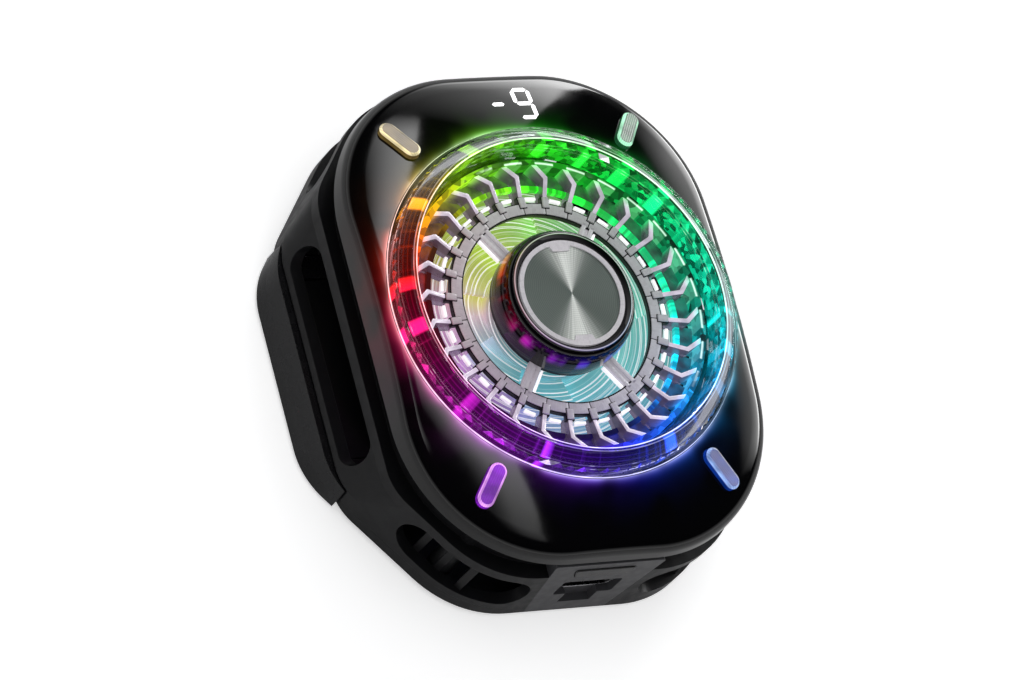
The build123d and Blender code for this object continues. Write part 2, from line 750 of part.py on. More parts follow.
# Ring lens: a clear hollow ring with a wall that leans in to a rounded rim
with BuildPart() as ring_lens:
    with BuildSketch(Plane.XZ):
        with BuildLine():
            Polyline((ring_rim_radius + lens_wall, cooler_height), (ring_rim_radius, cooler_height),
                     (lens_inner_radius + seat_gap, lens_foot_z), (lens_inner_radius + seat_gap, board_top_z),
                     (lens_inner_radius + lens_wall, board_top_z),
                     (lens_inner_radius + lens_wall, lens_foot_z),
                     (ring_rim_radius + lens_wall, cooler_height - lens_wall),
                     (lens_shoulder_radius - lens_wall, lens_shoulder_z),
                     (ring_radius - lens_wall, ring_base_z), (ring_radius - lens_wall, board_top_z),
                     (ring_radius, board_top_z), (ring_radius, ring_base_z),
                     (lens_shoulder_radius, lens_shoulder_z))
            TangentArc((ring_rim_radius + lens_wall, cooler_height), (lens_shoulder_radius, lens_shoulder_z),
                       tangent=(1, 0))
        make_face()
    revolve(axis=Axis.Z)
save(ring_lens.part, "ring_lens")

# Light capsules: bevelled clear bars that stand out of the dome along four spokes
capsule_names = ["capsule_top_right", "capsule_top_left", "capsule_bottom_left", "capsule_bottom_right"]
for name, (sx, sy) in zip(capsule_names, quadrants):
    plane = capsule_plane(sx, sy)
    with BuildPart() as capsule:
        with BuildSketch(plane.offset(capsule_rise)):
            SlotOverall(capsule_length, capsule_width)
        extrude(amount=-(capsule_rise + shell_wall + seat_gap))
        chamfer(capsule.faces().sort_by(Axis.Z)[-1].edges(), capsule_bevel)
    save(capsule.part, name)

# Display: a block of diodes on the light board, and light guides that fill the shell's slots
with BuildPart() as display_block:
    with BuildSketch(Plane.XY.offset(board_top_z)):
        with Locations(((digit_x + minus_x) / 2, digit_y)):
            Rectangle(digit_x - minus_x + digit_width + minus_length / 2, digit_height)
    extrude(amount=display_led_height)
save(display_block.part, "display_block")

with BuildPart() as display_segments:
    with BuildSketch(Plane.XY.offset(board_top_z + display_led_height)):
        add(display_outline(0))
    extrude(amount=cooler_height - board_top_z)
    with Locations((0, 0, dome_top_z - dome_radius)):
        Sphere(dome_radius + glow_rise, rotation=(90, 0, 0), mode=Mode.INTERSECT)
save(display_segments.part, "display_segments")

# Front grille: a rim on the deck, an inner ring on kinked vanes, and four spokes to the hub's seat
with BuildPart() as vane:
    with BuildSketch(Plane.XY.offset(deck_top_z + grille_vane_lift)):
        with BuildLine():
            outer_end = grille_outer_radius - grille_rim / 2
            turn = radians(vane_bend)
            Polyline((vane_inner_radius, 0), (vane_kink_radius, -vane_kink_shift),
                     (outer_end * cos(turn), outer_end * sin(turn)))
        trace(line_width=vane_thickness)
    extrude(amount=grille_height - grille_vane_lift)
    with BuildSketch(Plane.XZ):
        with BuildLine():
            Polyline((0, vane_inner_top_z), (vane_inner_radius, vane_inner_top_z),
                     (grille_outer_radius, deck_top_z + grille_height), (grille_outer_radius, cooler_height),
                     (0, cooler_height), close=True)
        make_face()
    extrude(amount=vane_kink_radius, both=True, mode=Mode.SUBTRACT)
    with BuildSketch(Plane.XY.offset(inner_ring_top_z - inner_ring_thickness)):
        with Locations((inner_ring_outer_radius + block_size / 4, 0)):
            Rectangle(1.5 * block_size, block_size)
    extrude(amount=inner_ring_thickness + block_rise)
spoke_start = hub_seat_radius - spoke_width / 2
spoke_end = inner_ring_inner_radius + spoke_width / 2
spoke_length = spoke_end - spoke_start
spoke_middle = (spoke_start + spoke_end) / 2
with BuildPart() as fan_grille:
    with BuildSketch(Plane.XY.offset(deck_top_z)):
        Circle(grille_outer_radius)
        Circle(grille_outer_radius - grille_rim, mode=Mode.SUBTRACT)
    extrude(amount=grille_height)
    with PolarLocations(0, vane_count, start_angle=spoke_angle):
        add(vane.part)
    with BuildSketch(Plane.XY.offset(inner_ring_top_z - inner_ring_thickness)):
        Circle(inner_ring_outer_radius)
        Circle(inner_ring_inner_radius, mode=Mode.SUBTRACT)
        Circle(hub_seat_radius)
    extrude(amount=inner_ring_thickness)
    with BuildSketch(Plane.XY.offset(deck_top_z + grille_vane_lift)):
        Circle(mid_ring_radius)
        Circle(mid_ring_radius - mid_ring_width, mode=Mode.SUBTRACT)
    extrude(amount=mid_ring_height)
    with BuildSketch(Plane.XY.offset(inner_ring_top_z - inner_ring_thickness)):
        for sx, sy in quadrants:
            angle = atan2(sy * capsule_y, sx * capsule_x)
            with Locations(Location((spoke_middle * cos(angle), spoke_middle * sin(angle)), degrees(angle))):
                Rectangle(spoke_length, spoke_width)
    extrude(amount=inner_ring_thickness)
    with BuildSketch(Plane.XY.offset(inner_ring_top_z)):
        for sx, sy in quadrants:
            angle = atan2(sy * capsule_y, sx * capsule_x)
            with Locations(Location((spoke_middle * cos(angle), spoke_middle * sin(angle)), degrees(angle))):
                Rectangle(inner_ring_inner_radius - hub_radius, spoke_width / 3)
    extrude(amount=-spoke_groove, mode=Mode.SUBTRACT)
save(fan_grille.part, "fan_grille")

# Hub on the grille: a cap with a sloping wall, a trim ring with two tabs, and a turned disc
hub_floor_z = cooler_height - hub_floor_drop
with BuildPart() as hub_cap:
    with BuildSketch(Plane.XZ):
        with BuildLine():
            Polyline((0, hub_floor_z - hub_wall), (0, hub_floor_z),
                     (trim_outer_radius + seat_gap, hub_floor_z),
                     (hub_rim_radius - hub_lip, cooler_height), (hub_rim_radius, cooler_height),
                     (hub_radius, hub_belt_z), (hub_radius - seat_gap, inner_ring_top_z),
                     (hub_radius - hub_wall, inner_ring_top_z),
                     (hub_rim_radius - hub_wall, hub_floor_z - hub_wall),
                     close=True)
        make_face()
    revolve(axis=Axis.Z)
save(hub_cap.part, "hub_cap")

with BuildPart() as hub_trim:
    with BuildSketch(Plane.XY.offset(hub_floor_z)):
        Circle(trim_outer_radius)
        Circle(trim_inner_radius, mode=Mode.SUBTRACT)
        for sy in (1, -1):
            add(trim_tab(sy, 0))
    extrude(amount=trim_height)
save(hub_trim.part, "hub_trim")

with BuildPart() as hub_disc:
    with BuildSketch(Plane.XY.offset(hub_floor_z)):
        Circle(trim_inner_radius - pin_gap)
        for sy in (1, -1):
            add(trim_tab(sy, pin_gap), mode=Mode.SUBTRACT)
    extrude(amount=disc_thickness)
save(hub_disc.part, "hub_disc")

# Fan base on the heat sink's boss: a plate with the bearing tube, the bush, and the motor board
with BuildPart() as fan_base:
    with BuildSketch(Plane.XY.offset(sink_boss_top_z)):
        Circle(fan_base_radius)
    extrude(amount=fan_base_thickness)
    with BuildSketch(Plane.XY.offset(fan_base_top_z)):
        Circle(bearing_tube_radius)
        Circle(bush_radius, mode=Mode.SUBTRACT)
    extrude(amount=rotor_top_z - rotor_cup_wall - slide_gap - fan_base_top_z)
save(fan_base.part, "fan_base")

with BuildPart() as bearing_bush:
    with BuildSketch(Plane.XY.offset(fan_base_top_z)):
        Circle(bush_radius)
        Circle(shaft_radius + pin_gap, mode=Mode.SUBTRACT)
    extrude(amount=rotor_top_z - rotor_cup_wall - 2 * slide_gap - fan_base_top_z)
save(bearing_bush.part, "bearing_bush")

with BuildPart() as motor_board:
    with BuildSketch(Plane.XY.offset(fan_base_top_z)):
        Circle(stator_radius + magnet_thickness)
        Circle(bearing_tube_radius, mode=Mode.SUBTRACT)
    extrude(amount=motor_board_thickness)
save(motor_board.part, "motor_board")

# Stator: a toothed core pressed on the tube, with a coil on each tooth
stator_z = fan_base_top_z + motor_board_thickness + coil_height
with BuildPart() as stator_core:
    with BuildSketch(Plane.XY.offset(stator_z)):
        Circle(bearing_tube_radius + tooth_width)
        with PolarLocations((stator_radius + bearing_tube_radius) / 2, stator_tooth_count):
            Rectangle(stator_radius - bearing_tube_radius - pole_thickness / 2, tooth_width)
        with PolarLocations(stator_radius - pole_thickness, stator_tooth_count):
            Rectangle(pole_thickness, pole_width)
        Circle(bearing_tube_radius, mode=Mode.SUBTRACT)
    extrude(amount=stator_height)
save(stator_core.part, "stator_core")

with BuildPart() as stator_coils:
    with BuildSketch(Plane.XY.offset(stator_z - coil_height)):
        with PolarLocations(coil_radius, stator_tooth_count):
            RectangleRounded(coil_length, tooth_width + 2 * coil_height, coil_height / 2)
    extrude(amount=stator_height + 2 * coil_height)
    with BuildSketch(Plane.XY.offset(stator_z)):
        with PolarLocations(coil_radius, stator_tooth_count):
            Rectangle(2 * coil_length, tooth_width)
    extrude(amount=stator_height, mode=Mode.SUBTRACT)
save(stator_coils.part, "stator_coils")

# Rotor: a cup with twisted blades, a magnet ring inside it and the shaft
rotor_bottom_z = rotor_top_z - rotor_cup_height
blade_z = (rotor_top_z + fan_base_top_z) / 2
blade_stations = [(rotor_cup_radius - rotor_cup_wall / 2, blade_root_chord, blade_root_pitch),
                  (rotor_radius, blade_tip_chord, blade_tip_pitch)]
with BuildPart() as blade:
    for radius, chord, pitch in blade_stations:
        with BuildSketch(Plane(origin=(radius, 0, blade_z), x_dir=(0, 1, 0), z_dir=(1, 0, 0))):
            Rectangle(chord, blade_thickness, rotation=pitch)
    loft(ruled=True)
with BuildPart() as rotor:
    with BuildSketch(Plane.XY.offset(rotor_bottom_z)):
        Circle(rotor_cup_radius)
    extrude(amount=rotor_cup_height)
    chamfer(rotor.faces().sort_by(Axis.Z)[-1].edges(), rotor_cup_wall / 2)
    with PolarLocations(0, blade_count):
        add(blade.part)
    with BuildSketch(Plane.XY.offset(fan_base_top_z)):
        Circle(rotor_radius)
    extrude(amount=rotor_top_z - fan_base_top_z, mode=Mode.INTERSECT)
    with BuildSketch(Plane.XY.offset(fan_base_top_z)):
        Circle(rotor_cup_radius - rotor_cup_wall)
    extrude(amount=rotor_top_z - rotor_cup_wall - fan_base_top_z, mode=Mode.SUBTRACT)
save(rotor.part, "rotor")

with BuildPart() as rotor_magnet:
    with BuildSketch(Plane.XY.offset(rotor_top_z - rotor_cup_wall - magnet_height)):
        Circle(rotor_cup_radius - rotor_cup_wall)
        Circle(rotor_cup_radius - rotor_cup_wall - magnet_thickness, mode=Mode.SUBTRACT)
    extrude(amount=magnet_height)
save(rotor_magnet.part, "rotor_magnet")

with BuildPart() as fan_shaft:
    with BuildSketch(Plane.XY.offset(fan_base_top_z + seat_gap)):
        Circle(shaft_radius)
    extrude(amount=rotor_top_z - rotor_cup_wall - fan_base_top_z - seat_gap)
save(fan_shaft.part, "fan_shaft")

# Heat sink: a round base with leaning skived fins, a boss for the fan and four screw ears
fin_rows = int(fin_field / fin_pitch)
fin_shift = (fin_top_z - sink_top_z) * tan(radians(fin_lean)) / 2
fin_foot_z = sink_top_z - seat_gap
with BuildPart() as heat_sink:
    with BuildSketch(Plane.XY.offset(sink_bottom_z)):
        Circle(sink_radius)
        for sx, sy in quadrants:
            with Locations((sx * sink_ear_x, sy * sink_ear_y)):
                Circle(sink_ear_radius)
            with Locations(Location((sx * sink_ear_x / 2, sy * sink_ear_y / 2), sx * sy * sink_ear_angle)):
                Rectangle(hypot(sink_ear_x, sink_ear_y), 2 * sink_ear_radius)
        with Locations(*[(sx * sink_ear_x, sy * sink_ear_y) for sx, sy in quadrants]):
            Circle(screw_radius + seat_gap, mode=Mode.SUBTRACT)
    extrude(amount=sink_base)
    for row in range(fin_rows):
        y = (row - (fin_rows - 1) / 2) * fin_pitch
        reach = abs(y) + fin_shift + fin_thickness
        with BuildSketch(Plane.YZ):
            with BuildLine():
                Polyline((y - fin_shift, fin_foot_z), (y - fin_shift + fin_thickness, fin_foot_z),
                         (y + fin_shift + fin_thickness, fin_top_z), (y + fin_shift, fin_top_z), close=True)
            make_face()
        extrude(amount=sqrt(sink_radius**2 - reach**2), both=True)
    with BuildSketch(Plane.XY.offset(sink_bottom_z)):
        Circle(sink_boss_radius)
    extrude(amount=sink_boss_top_z - sink_bottom_z)
save(heat_sink.part, "heat_sink")

# Cold side: Peltier module in its foam frame, flanged cold plate and the pad that meets the phone
with BuildPart() as peltier_module:
    with BuildSketch(Plane.XY.offset(plate_top_z)):
        Rectangle(peltier_size, peltier_size)
    extrude(amount=ceramic_thickness)
    with BuildSketch(Plane.XY.offset(plate_top_z + ceramic_thickness)):
        with GridLocations(peltier_pitch, peltier_pitch, peltier_legs, peltier_legs):
            Rectangle(peltier_leg_width, peltier_leg_width)
    extrude(amount=peltier_thickness - 2 * ceramic_thickness)
    with BuildSketch(Plane.XY.offset(sink_bottom_z - ceramic_thickness)):
        Rectangle(peltier_size, peltier_size)
    extrude(amount=ceramic_thickness)
save(peltier_module.part, "peltier_module")

with BuildPart() as foam_frame:
    with BuildSketch(Plane.XY.offset(plate_top_z)):
        Rectangle(2 * foam_half, 2 * foam_half)
        Rectangle(peltier_size + 2 * seat_gap, peltier_size + 2 * seat_gap, mode=Mode.SUBTRACT)
    extrude(amount=peltier_thickness)
save(foam_frame.part, "foam_frame")

with BuildPart() as cold_plate:
    with BuildSketch(Plane.XY.offset(pad_thickness)):
        RectangleRounded(plate_size, plate_size, plate_corner)
    extrude(amount=plate_thickness)
    with BuildSketch(Plane.XY.offset(plate_top_z - flange_thickness)):
        RectangleRounded(2 * flange_half, 2 * flange_half, plate_corner)
    extrude(amount=flange_thickness)
save(cold_plate.part, "cold_plate")

with BuildPart() as contact_pad:
    with BuildSketch(Plane.XY):
        RectangleRounded(pad_size, pad_size, plate_corner)
    extrude(amount=pad_thickness)
save(contact_pad.part, "contact_pad")

# Rear cover: a plate with the cold plate's window, and two roofed pockets for the folded claws
with BuildPart() as rear_cover:
    with BuildSketch(Plane.XY.offset(rear_face_z)):
        add(plan_face(arm_seat_half))
    extrude(amount=frame_bottom_z - rear_face_z)
    rim = rear_cover.faces().sort_by(Axis.Z)[0].edges()
    chamfer(rim.filter_by(lambda e: abs(e.center().X) < arm_seat_half - frame_wall), rear_chamfer)
    with BuildSketch(Plane.XY.offset(frame_bottom_z)):
        for side in (1, -1):
            with Locations((side * (pocket_outer_x + arm_seat_half) / 2, 0)):
                Rectangle(arm_seat_half - pocket_outer_x, 2 * (claw_pocket_half + pocket_wall))
        with Locations(*[(sx * (guide_start_x + guide_end_x) / 2, sy * guide_y) for sx, sy in quadrants]):
            Rectangle(guide_end_x - guide_start_x, guide_width)
    extrude(amount=claw_roof_z + pocket_roof - frame_bottom_z)
    with BuildSketch(Plane.XY.offset(rear_face_z)):
        for side in (1, -1):
            with Locations((side * (pocket_inner_x + width_half) / 2, 0)):
                Rectangle(width_half - pocket_inner_x, 2 * claw_pocket_half)
    extrude(amount=claw_roof_z - rear_face_z, mode=Mode.SUBTRACT)
    # Window for the cold plate, with a step under its flange
    with BuildSketch(Plane.XY.offset(rear_face_z)):
        RectangleRounded(plate_size + 2 * seat_gap, plate_size + 2 * seat_gap, plate_corner)
    extrude(amount=frame_bottom_z - rear_face_z, mode=Mode.SUBTRACT)
    with BuildSketch(Plane.XY.offset(plate_top_z - flange_thickness)):
        RectangleRounded(2 * (flange_half + seat_gap), 2 * (flange_half + seat_gap), plate_corner)
    extrude(amount=flange_thickness, mode=Mode.SUBTRACT)
    with BuildSketch(panel_plane):
        add(panel_outline())
    extrude(amount=-panel_depth, mode=Mode.SUBTRACT)
    # Posts for the springs and for the main board
    with BuildSketch(Plane.XY.offset(frame_bottom_z)):
        with Locations(*[(sx * (post_x + post_length / 2), sy * spring_y) for sx, sy in quadrants]):
            Rectangle(post_length, 2 * spring_radius)
    extrude(amount=rail_bottom_z + 2 * spring_radius - frame_bottom_z)
    with BuildSketch(Plane.XY.offset(frame_bottom_z)):
        with Locations(*[(side * board_post_x, board_post_y) for side in (1, -1)]):
            Circle(board_post_radius)
    extrude(amount=main_board_z - frame_bottom_z)
    screw_places = [(sx * rear_screw_x, sy * rear_screw_y, rear_face_z) for sx, sy in quadrants]
    with Locations(*[Location(place, (180, 0, 0)) for place in screw_places]):
        CounterBoreHole(screw_radius + seat_gap, screw_head_radius + seat_gap, screw_head_height,
                        frame_bottom_z)
save(rear_cover.part, "rear_cover")

# Main board on two posts of the rear cover, with the charging socket at its edge
with BuildPart() as main_board:
    with BuildSketch(Plane.XY.offset(main_board_z)):
        with Locations((0, (main_board_end_y - main_board_start_y) / 2 - main_board_end_y)):
            Rectangle(main_board_width, main_board_end_y - main_board_start_y)
    extrude(amount=board_thickness)
save(main_board.part, "main_board")

socket_plane = panel_plane.offset(-socket_setback)
with BuildPart() as usb_socket:
    with BuildSketch(socket_plane):
        with Locations((0, socket_z)):
            SlotOverall(socket_width, socket_height)
    extrude(amount=-socket_depth)
    with BuildSketch(socket_plane):
        with Locations((0, socket_z)):
            SlotOverall(socket_width - 2 * socket_wall, socket_height - 2 * socket_wall)
    extrude(amount=socket_wall - socket_depth, mode=Mode.SUBTRACT)
save(usb_socket.part, "usb_socket")

with BuildPart() as usb_tongue:
    with BuildSketch(socket_plane.offset(-socket_wall)):
        with Locations((0, socket_z)):
            Rectangle(tongue_width, tongue_thickness)
    extrude(amount=2 * socket_wall - socket_depth)
save(usb_tongue.part, "usb_tongue")

# Screws that point forwards, with round heads and a hex recess
def screw_set(places, head_z, length):
    with BuildPart(mode=Mode.PRIVATE) as screws:
        with BuildSketch(Plane.XY.offset(head_z)):
            with Locations(*places):
                Circle(screw_head_radius)
        extrude(amount=screw_head_height)
        with BuildSketch(Plane.XY.offset(head_z)):
            with Locations(*places):
                RegularPolygon(screw_hex_radius, 6)
        extrude(amount=screw_head_height / 2, mode=Mode.SUBTRACT)
        with BuildSketch(Plane.XY.offset(head_z + screw_head_height)):
            with Locations(*places):
                Circle(screw_radius - pin_gap)
        extrude(amount=length)
    return screws.part


rear_places = [(sx * rear_screw_x, sy * rear_screw_y) for sx, sy in quadrants]
sink_places = [(sx * sink_ear_x, sy * sink_ear_y) for sx, sy in quadrants]
shell_places = [(sx * shell_screw_x, sy * shell_screw_y) for sx, sy in quadrants]
shell_screw_length = deck_thickness + board_thickness + shell_screw_bite - seat_gap
save(screw_set(rear_places, rear_face_z, screw_length), "rear_screws")
save(screw_set(sink_places, sink_bottom_z - screw_head_height, sink_base + sink_screw_reach - slide_gap),
     "sink_screws")
save(screw_set(shell_places, deck_bottom_z - screw_head_height, shell_screw_length), "shell_screws")

# Clamp arms: a curved outer wall that follows the cooler's side, on two rails, with ears for the claw
arm_levels = [(rear_face_z, width_half), (arm_crease_z, arm_crease_half), (arm_top_z, arm_top_half)]
lug_middle_x = rail_end_x + lug_length / 2
lug_middle_y = rail_y + (rail_width + lug_reach) / 2
for side, side_name in ((-1, "left"), (1, "right")):
    with BuildPart() as arm:
        for level, half in arm_levels:
            with BuildSketch(Plane.XY.offset(level)):
                add(plan_face(half, 0, arm_bend))
        loft(ruled=True)
        with BuildSketch(Plane.XY.offset(rear_face_z)):
            with Locations((side * (arm_inner_x - 2 * width_half), 0)):
                Rectangle(4 * width_half, 4 * length_half)
        extrude(amount=arm_top_z - rear_face_z, mode=Mode.SUBTRACT)
        with BuildSketch(Plane.XY.offset(rail_bottom_z)):
            with Locations(*[(side * (rail_end_x + arm_inner_x) / 2, sy * rail_y) for sy in (1, -1)]):
                Rectangle(arm_inner_x - rail_end_x, rail_width)
            with Locations(*[(side * lug_middle_x, sy * lug_middle_y) for sy in (1, -1)]):
                Rectangle(lug_length, lug_reach)
        extrude(amount=rail_thickness)
        # Hollow behind the outer wall in which the claw turns, and the pin's holes
        with BuildSketch(Plane.XY.offset(rear_face_z)):
            with Locations((side * claw_axis_x, 0)):
                Rectangle(2 * (claw_barrel_radius + slide_gap), 2 * claw_pocket_half)
        extrude(amount=claw_axis_z + claw_barrel_radius + slide_gap - rear_face_z, mode=Mode.SUBTRACT)
        with BuildSketch(Plane.XZ):
            with Locations((side * claw_axis_x, claw_axis_z)):
                Circle(claw_pin_radius)
        extrude(amount=claw_pocket_half + ear_width, both=True, mode=Mode.SUBTRACT)
    save(arm.part, "arm_" + side_name)

    with BuildPart() as claw:
        with BuildSketch(Plane.XZ.offset(-claw_width / 2)):
            with Locations((side * claw_axis_x, claw_axis_z)):
                Circle(claw_barrel_radius)
            with Locations((side * (claw_axis_x + claw_tip_x) / 2, (claw_bottom_z + claw_top_z) / 2)):
                Rectangle(claw_length, claw_thickness)
            with Locations((side * (claw_tip_x + claw_lip_thickness / 2),
                            (claw_bottom_z + claw_lip_top_z) / 2)):
                Rectangle(claw_lip_thickness, claw_lip_top_z - claw_bottom_z)
            with Locations((side * claw_axis_x, claw_axis_z)):
                Circle(claw_pin_radius + pin_gap, mode=Mode.SUBTRACT)
        extrude(amount=claw_width)
    save(claw.part, "claw_" + side_name)

    with BuildPart() as claw_pad:
        with BuildSketch(Plane.XY.offset(claw_top_z)):
            with Locations((side * (claw_tip_x + claw_lip_thickness + slide_gap + claw_pad_length / 2), 0)):
                RectangleRounded(claw_pad_length, claw_width - 2 * claw_lip_thickness, claw_lip_thickness / 2)
        extrude(amount=claw_pad_thickness)
    save(claw_pad.part, "claw_pad_" + side_name)

    with BuildPart() as claw_pin:
        with BuildSketch(Plane.XZ.offset(-claw_pocket_half - ear_width)):
            with Locations((side * claw_axis_x, claw_axis_z)):
                Circle(claw_pin_radius)
        extrude(amount=2 * (claw_pocket_half + ear_width))
    save(claw_pin.part, "claw_pin_" + side_name)

    # Springs that draw the arm in, one beside each rail
    with BuildPart() as springs:
        with BuildSketch(Plane.YZ.offset(side * (post_x + post_length))):
            with Locations(*[(sy * spring_y, rail_bottom_z + spring_radius) for sy in (1, -1)]):
                Circle(spring_radius)
                Circle(spring_radius / 2, mode=Mode.SUBTRACT)
        extrude(amount=side * (rail_end_x - slide_gap - post_x - post_length))
    save(springs.part, "arm_springs_" + side_name)
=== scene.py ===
from functools import partial
from math import asin, atan2, cos, hypot, pi, radians, sin, sqrt, tan

import bmesh
import bpy
from mathutils import Matrix, Vector


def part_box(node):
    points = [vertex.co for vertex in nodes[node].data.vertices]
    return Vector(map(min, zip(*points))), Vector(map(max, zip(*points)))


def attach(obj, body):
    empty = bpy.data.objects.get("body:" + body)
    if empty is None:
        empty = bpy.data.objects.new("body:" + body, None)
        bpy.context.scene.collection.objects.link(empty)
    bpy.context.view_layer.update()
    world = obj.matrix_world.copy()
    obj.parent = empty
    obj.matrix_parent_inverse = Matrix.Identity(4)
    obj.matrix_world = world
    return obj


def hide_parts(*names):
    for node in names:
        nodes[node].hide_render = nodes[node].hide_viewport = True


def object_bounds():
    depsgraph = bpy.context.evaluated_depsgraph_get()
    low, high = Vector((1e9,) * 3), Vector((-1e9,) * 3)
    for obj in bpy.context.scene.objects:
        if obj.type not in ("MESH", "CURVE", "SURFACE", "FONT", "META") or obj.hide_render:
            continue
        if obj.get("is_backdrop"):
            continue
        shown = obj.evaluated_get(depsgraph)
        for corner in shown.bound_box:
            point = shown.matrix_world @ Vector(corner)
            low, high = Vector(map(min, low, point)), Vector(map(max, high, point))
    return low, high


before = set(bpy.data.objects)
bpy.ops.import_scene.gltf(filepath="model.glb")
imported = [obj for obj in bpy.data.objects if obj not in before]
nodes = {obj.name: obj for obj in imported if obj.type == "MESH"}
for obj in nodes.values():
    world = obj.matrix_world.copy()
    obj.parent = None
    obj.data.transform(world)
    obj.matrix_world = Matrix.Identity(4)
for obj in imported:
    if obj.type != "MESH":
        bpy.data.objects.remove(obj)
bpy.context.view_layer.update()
scene = bpy.context.scene
scene.view_settings.view_transform = "Standard"
mm = 0.001
# Settings that many nodes share; smooth passes every threshold in a material softly
smooth = {"interpolation_type": "SMOOTHSTEP"}
colorMix = {"data_type": "RGBA"}
times, timesPlus = {"operation": "MULTIPLY"}, {"operation": "MULTIPLY_ADD"}
print("frame loaded:", len(nodes), "nodes")


# Small helpers

def hexColor(code):  # sRGB hex to the linear colour that shaders want
    parts = [int(code[i:i + 2], 16) / 255 for i in (1, 3, 5)]
    return [c / 12.92 if c <= 0.04045 else ((c + 0.055) / 1.055) ** 2.4 for c in parts] + [1.0]


def setInputs(node, *values, **named):  # values fill the inputs in use in their order, the rest go by name
    pairs = list(zip((socket for socket in node.inputs if socket.enabled), values))
    pairs += [(node.inputs[name.replace("_", " ")], value) for name, value in named.items()]
    for socket, value in pairs:
        if isinstance(value, bpy.types.NodeSocket):
            node.id_data.links.new(value, socket)
        else:
            socket.default_value = value


def addNode(tree, kind, *values, out=None, **named):
    # Names in lower case are the node's settings, and capital ones its inputs.
    # The output named by out comes back, or else the first one in use.
    node = tree.nodes.new(kind if "Node" in kind else "ShaderNode" + kind)
    for name in [name for name in named if name[0].islower()]:
        setattr(node, name, named.pop(name))
    setInputs(node, *values, **named)
    return node.outputs[out] if out else next((socket for socket in node.outputs if socket.enabled), None)


def newMaterial(name, **inputs):  # its third value, add, puts a node into this material's tree
    material = bpy.data.materials.new(name)
    material.use_nodes = True
    shader = material.node_tree.nodes["Principled BSDF"]
    setInputs(shader, **inputs)
    return material, shader, partial(addNode, material.node_tree)


def showSurface(material, surface):
    setInputs(material.node_tree.nodes["Material Output"], surface)


def setStops(ramp, stops):  # place and colour of each
    elements = ramp.node.color_ramp.elements
    elements.remove(elements[1])
    elements[0].position, elements[0].color = stops[0]
    for at, color in stops[1:]:
        elements.new(at).color = color


def addObject(name, data):
    obj = bpy.data.objects.new(name, data)
    scene.collection.objects.link(obj)
    return obj


def dress(mesh, material):
    mesh.materials.clear()
    mesh.materials.append(material)


def addPiece(name, mesh, material, body, *replaced):
    obj = addObject(name, mesh)
    if material:
        dress(mesh, material)
    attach(obj, body)
    if replaced:
        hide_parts(*replaced)
    return obj


def shade(mesh, sharpAngle=35):
    mesh.shade_smooth()
    mesh.set_sharp_from_angle(angle=radians(sharpAngle))


def finishMesh(bm, name, sharpAngle=35):
    bmesh.ops.remove_doubles(bm, verts=bm.verts, dist=1e-7)
    bmesh.ops.recalc_face_normals(bm, faces=bm.faces)
    mesh = bpy.data.meshes.new(name)
    bm.to_mesh(mesh)
    bm.free()
    shade(mesh, sharpAngle)
    return mesh


def latheMesh(name, profile, segments=256, sharpAngle=35):  # profile of (radius, z) in millimetres
    bm = bmesh.new()
    rings = []
    for radius, z in profile:
        angles = [2 * pi * i / segments for i in range(segments if radius else 1)]
        rings.append([bm.verts.new((radius * mm * cos(a), radius * mm * sin(a), z * mm)) for a in angles])
    closed = profile[0][0] != 0 or profile[-1][0] != 0
    for a, b in list(zip(rings, rings[1:])) + ([(rings[-1], rings[0])] if closed else []):
        for i in range(segments):
            j = (i + 1) % segments
            corners = [a[i % len(a)], a[j % len(a)], b[j % len(b)], b[i % len(b)]]
            unique = list(dict.fromkeys(corners))
            if len(unique) > 2:
                bm.faces.new(unique)
    return finishMesh(bm, name, sharpAngle)


def stackMesh(name, layers, place=Matrix(), sharpAngle=35):  # outlines at their heights, closed at both ends
    bm = bmesh.new()
    rings = [[bm.verts.new(place @ Vector((x * mm, y * mm, z * mm))) for x, y in outline] for outline, z in layers]
    bm.faces.new(rings[0][::-1])
    bm.faces.new(rings[-1])
    for a, b in zip(rings, rings[1:]):
        for i in range(len(a)):
            j = (i + 1) % len(a)
            bm.faces.new((a[i], a[j], b[j], b[i]))
    return finishMesh(bm, name, sharpAngle)


def sheetMesh(name, corners, faces, bevel=0.0, sharpAngle=30):  # corners in millimetres
    bm = bmesh.new()
    verts = [bm.verts.new(Vector(c) * mm) for c in corners]
    for face in faces:
        bm.faces.new([verts[i] for i in face])
    bmesh.ops.recalc_face_normals(bm, faces=bm.faces)
    if bevel:
        bmesh.ops.bevel(bm, geom=bm.edges[:], offset=bevel * mm, segments=2, affect="EDGES", profile=0.5,
                        clamp_overlap=True)
    return finishMesh(bm, name, sharpAngle)


def prismFaces(count):  # two ends of so many corners each, and the sides between them
    sides = [(i, (i + 1) % count, (i + 1) % count + count, i + count) for i in range(count)]
    return [tuple(range(count)), tuple(range(count, 2 * count))] + sides


def barMesh(name, outline, low, highs, bevel):  # outline of (x, y) corners, one top height for each
    corners = [(x, y, low) for x, y in outline] + [(x, y, z) for (x, y), z in zip(outline, highs)]
    return sheetMesh(name, corners, prismFaces(len(outline)), bevel)


def arcPoints(centre, radius, start, end, steps):  # degrees, for a profile
    angles = [radians(start + (end - start) * i / steps) for i in range(steps + 1)]
    return [(centre[0] + radius * cos(a), centre[1] + radius * sin(a)) for a in angles]


def quarterTurn(steps):
    return [pi / 2 * i / steps for i in range(steps + 1)]


# Where things are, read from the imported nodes, in millimetres

def span(node):
    low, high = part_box(node)
    return low / mm, high / mm


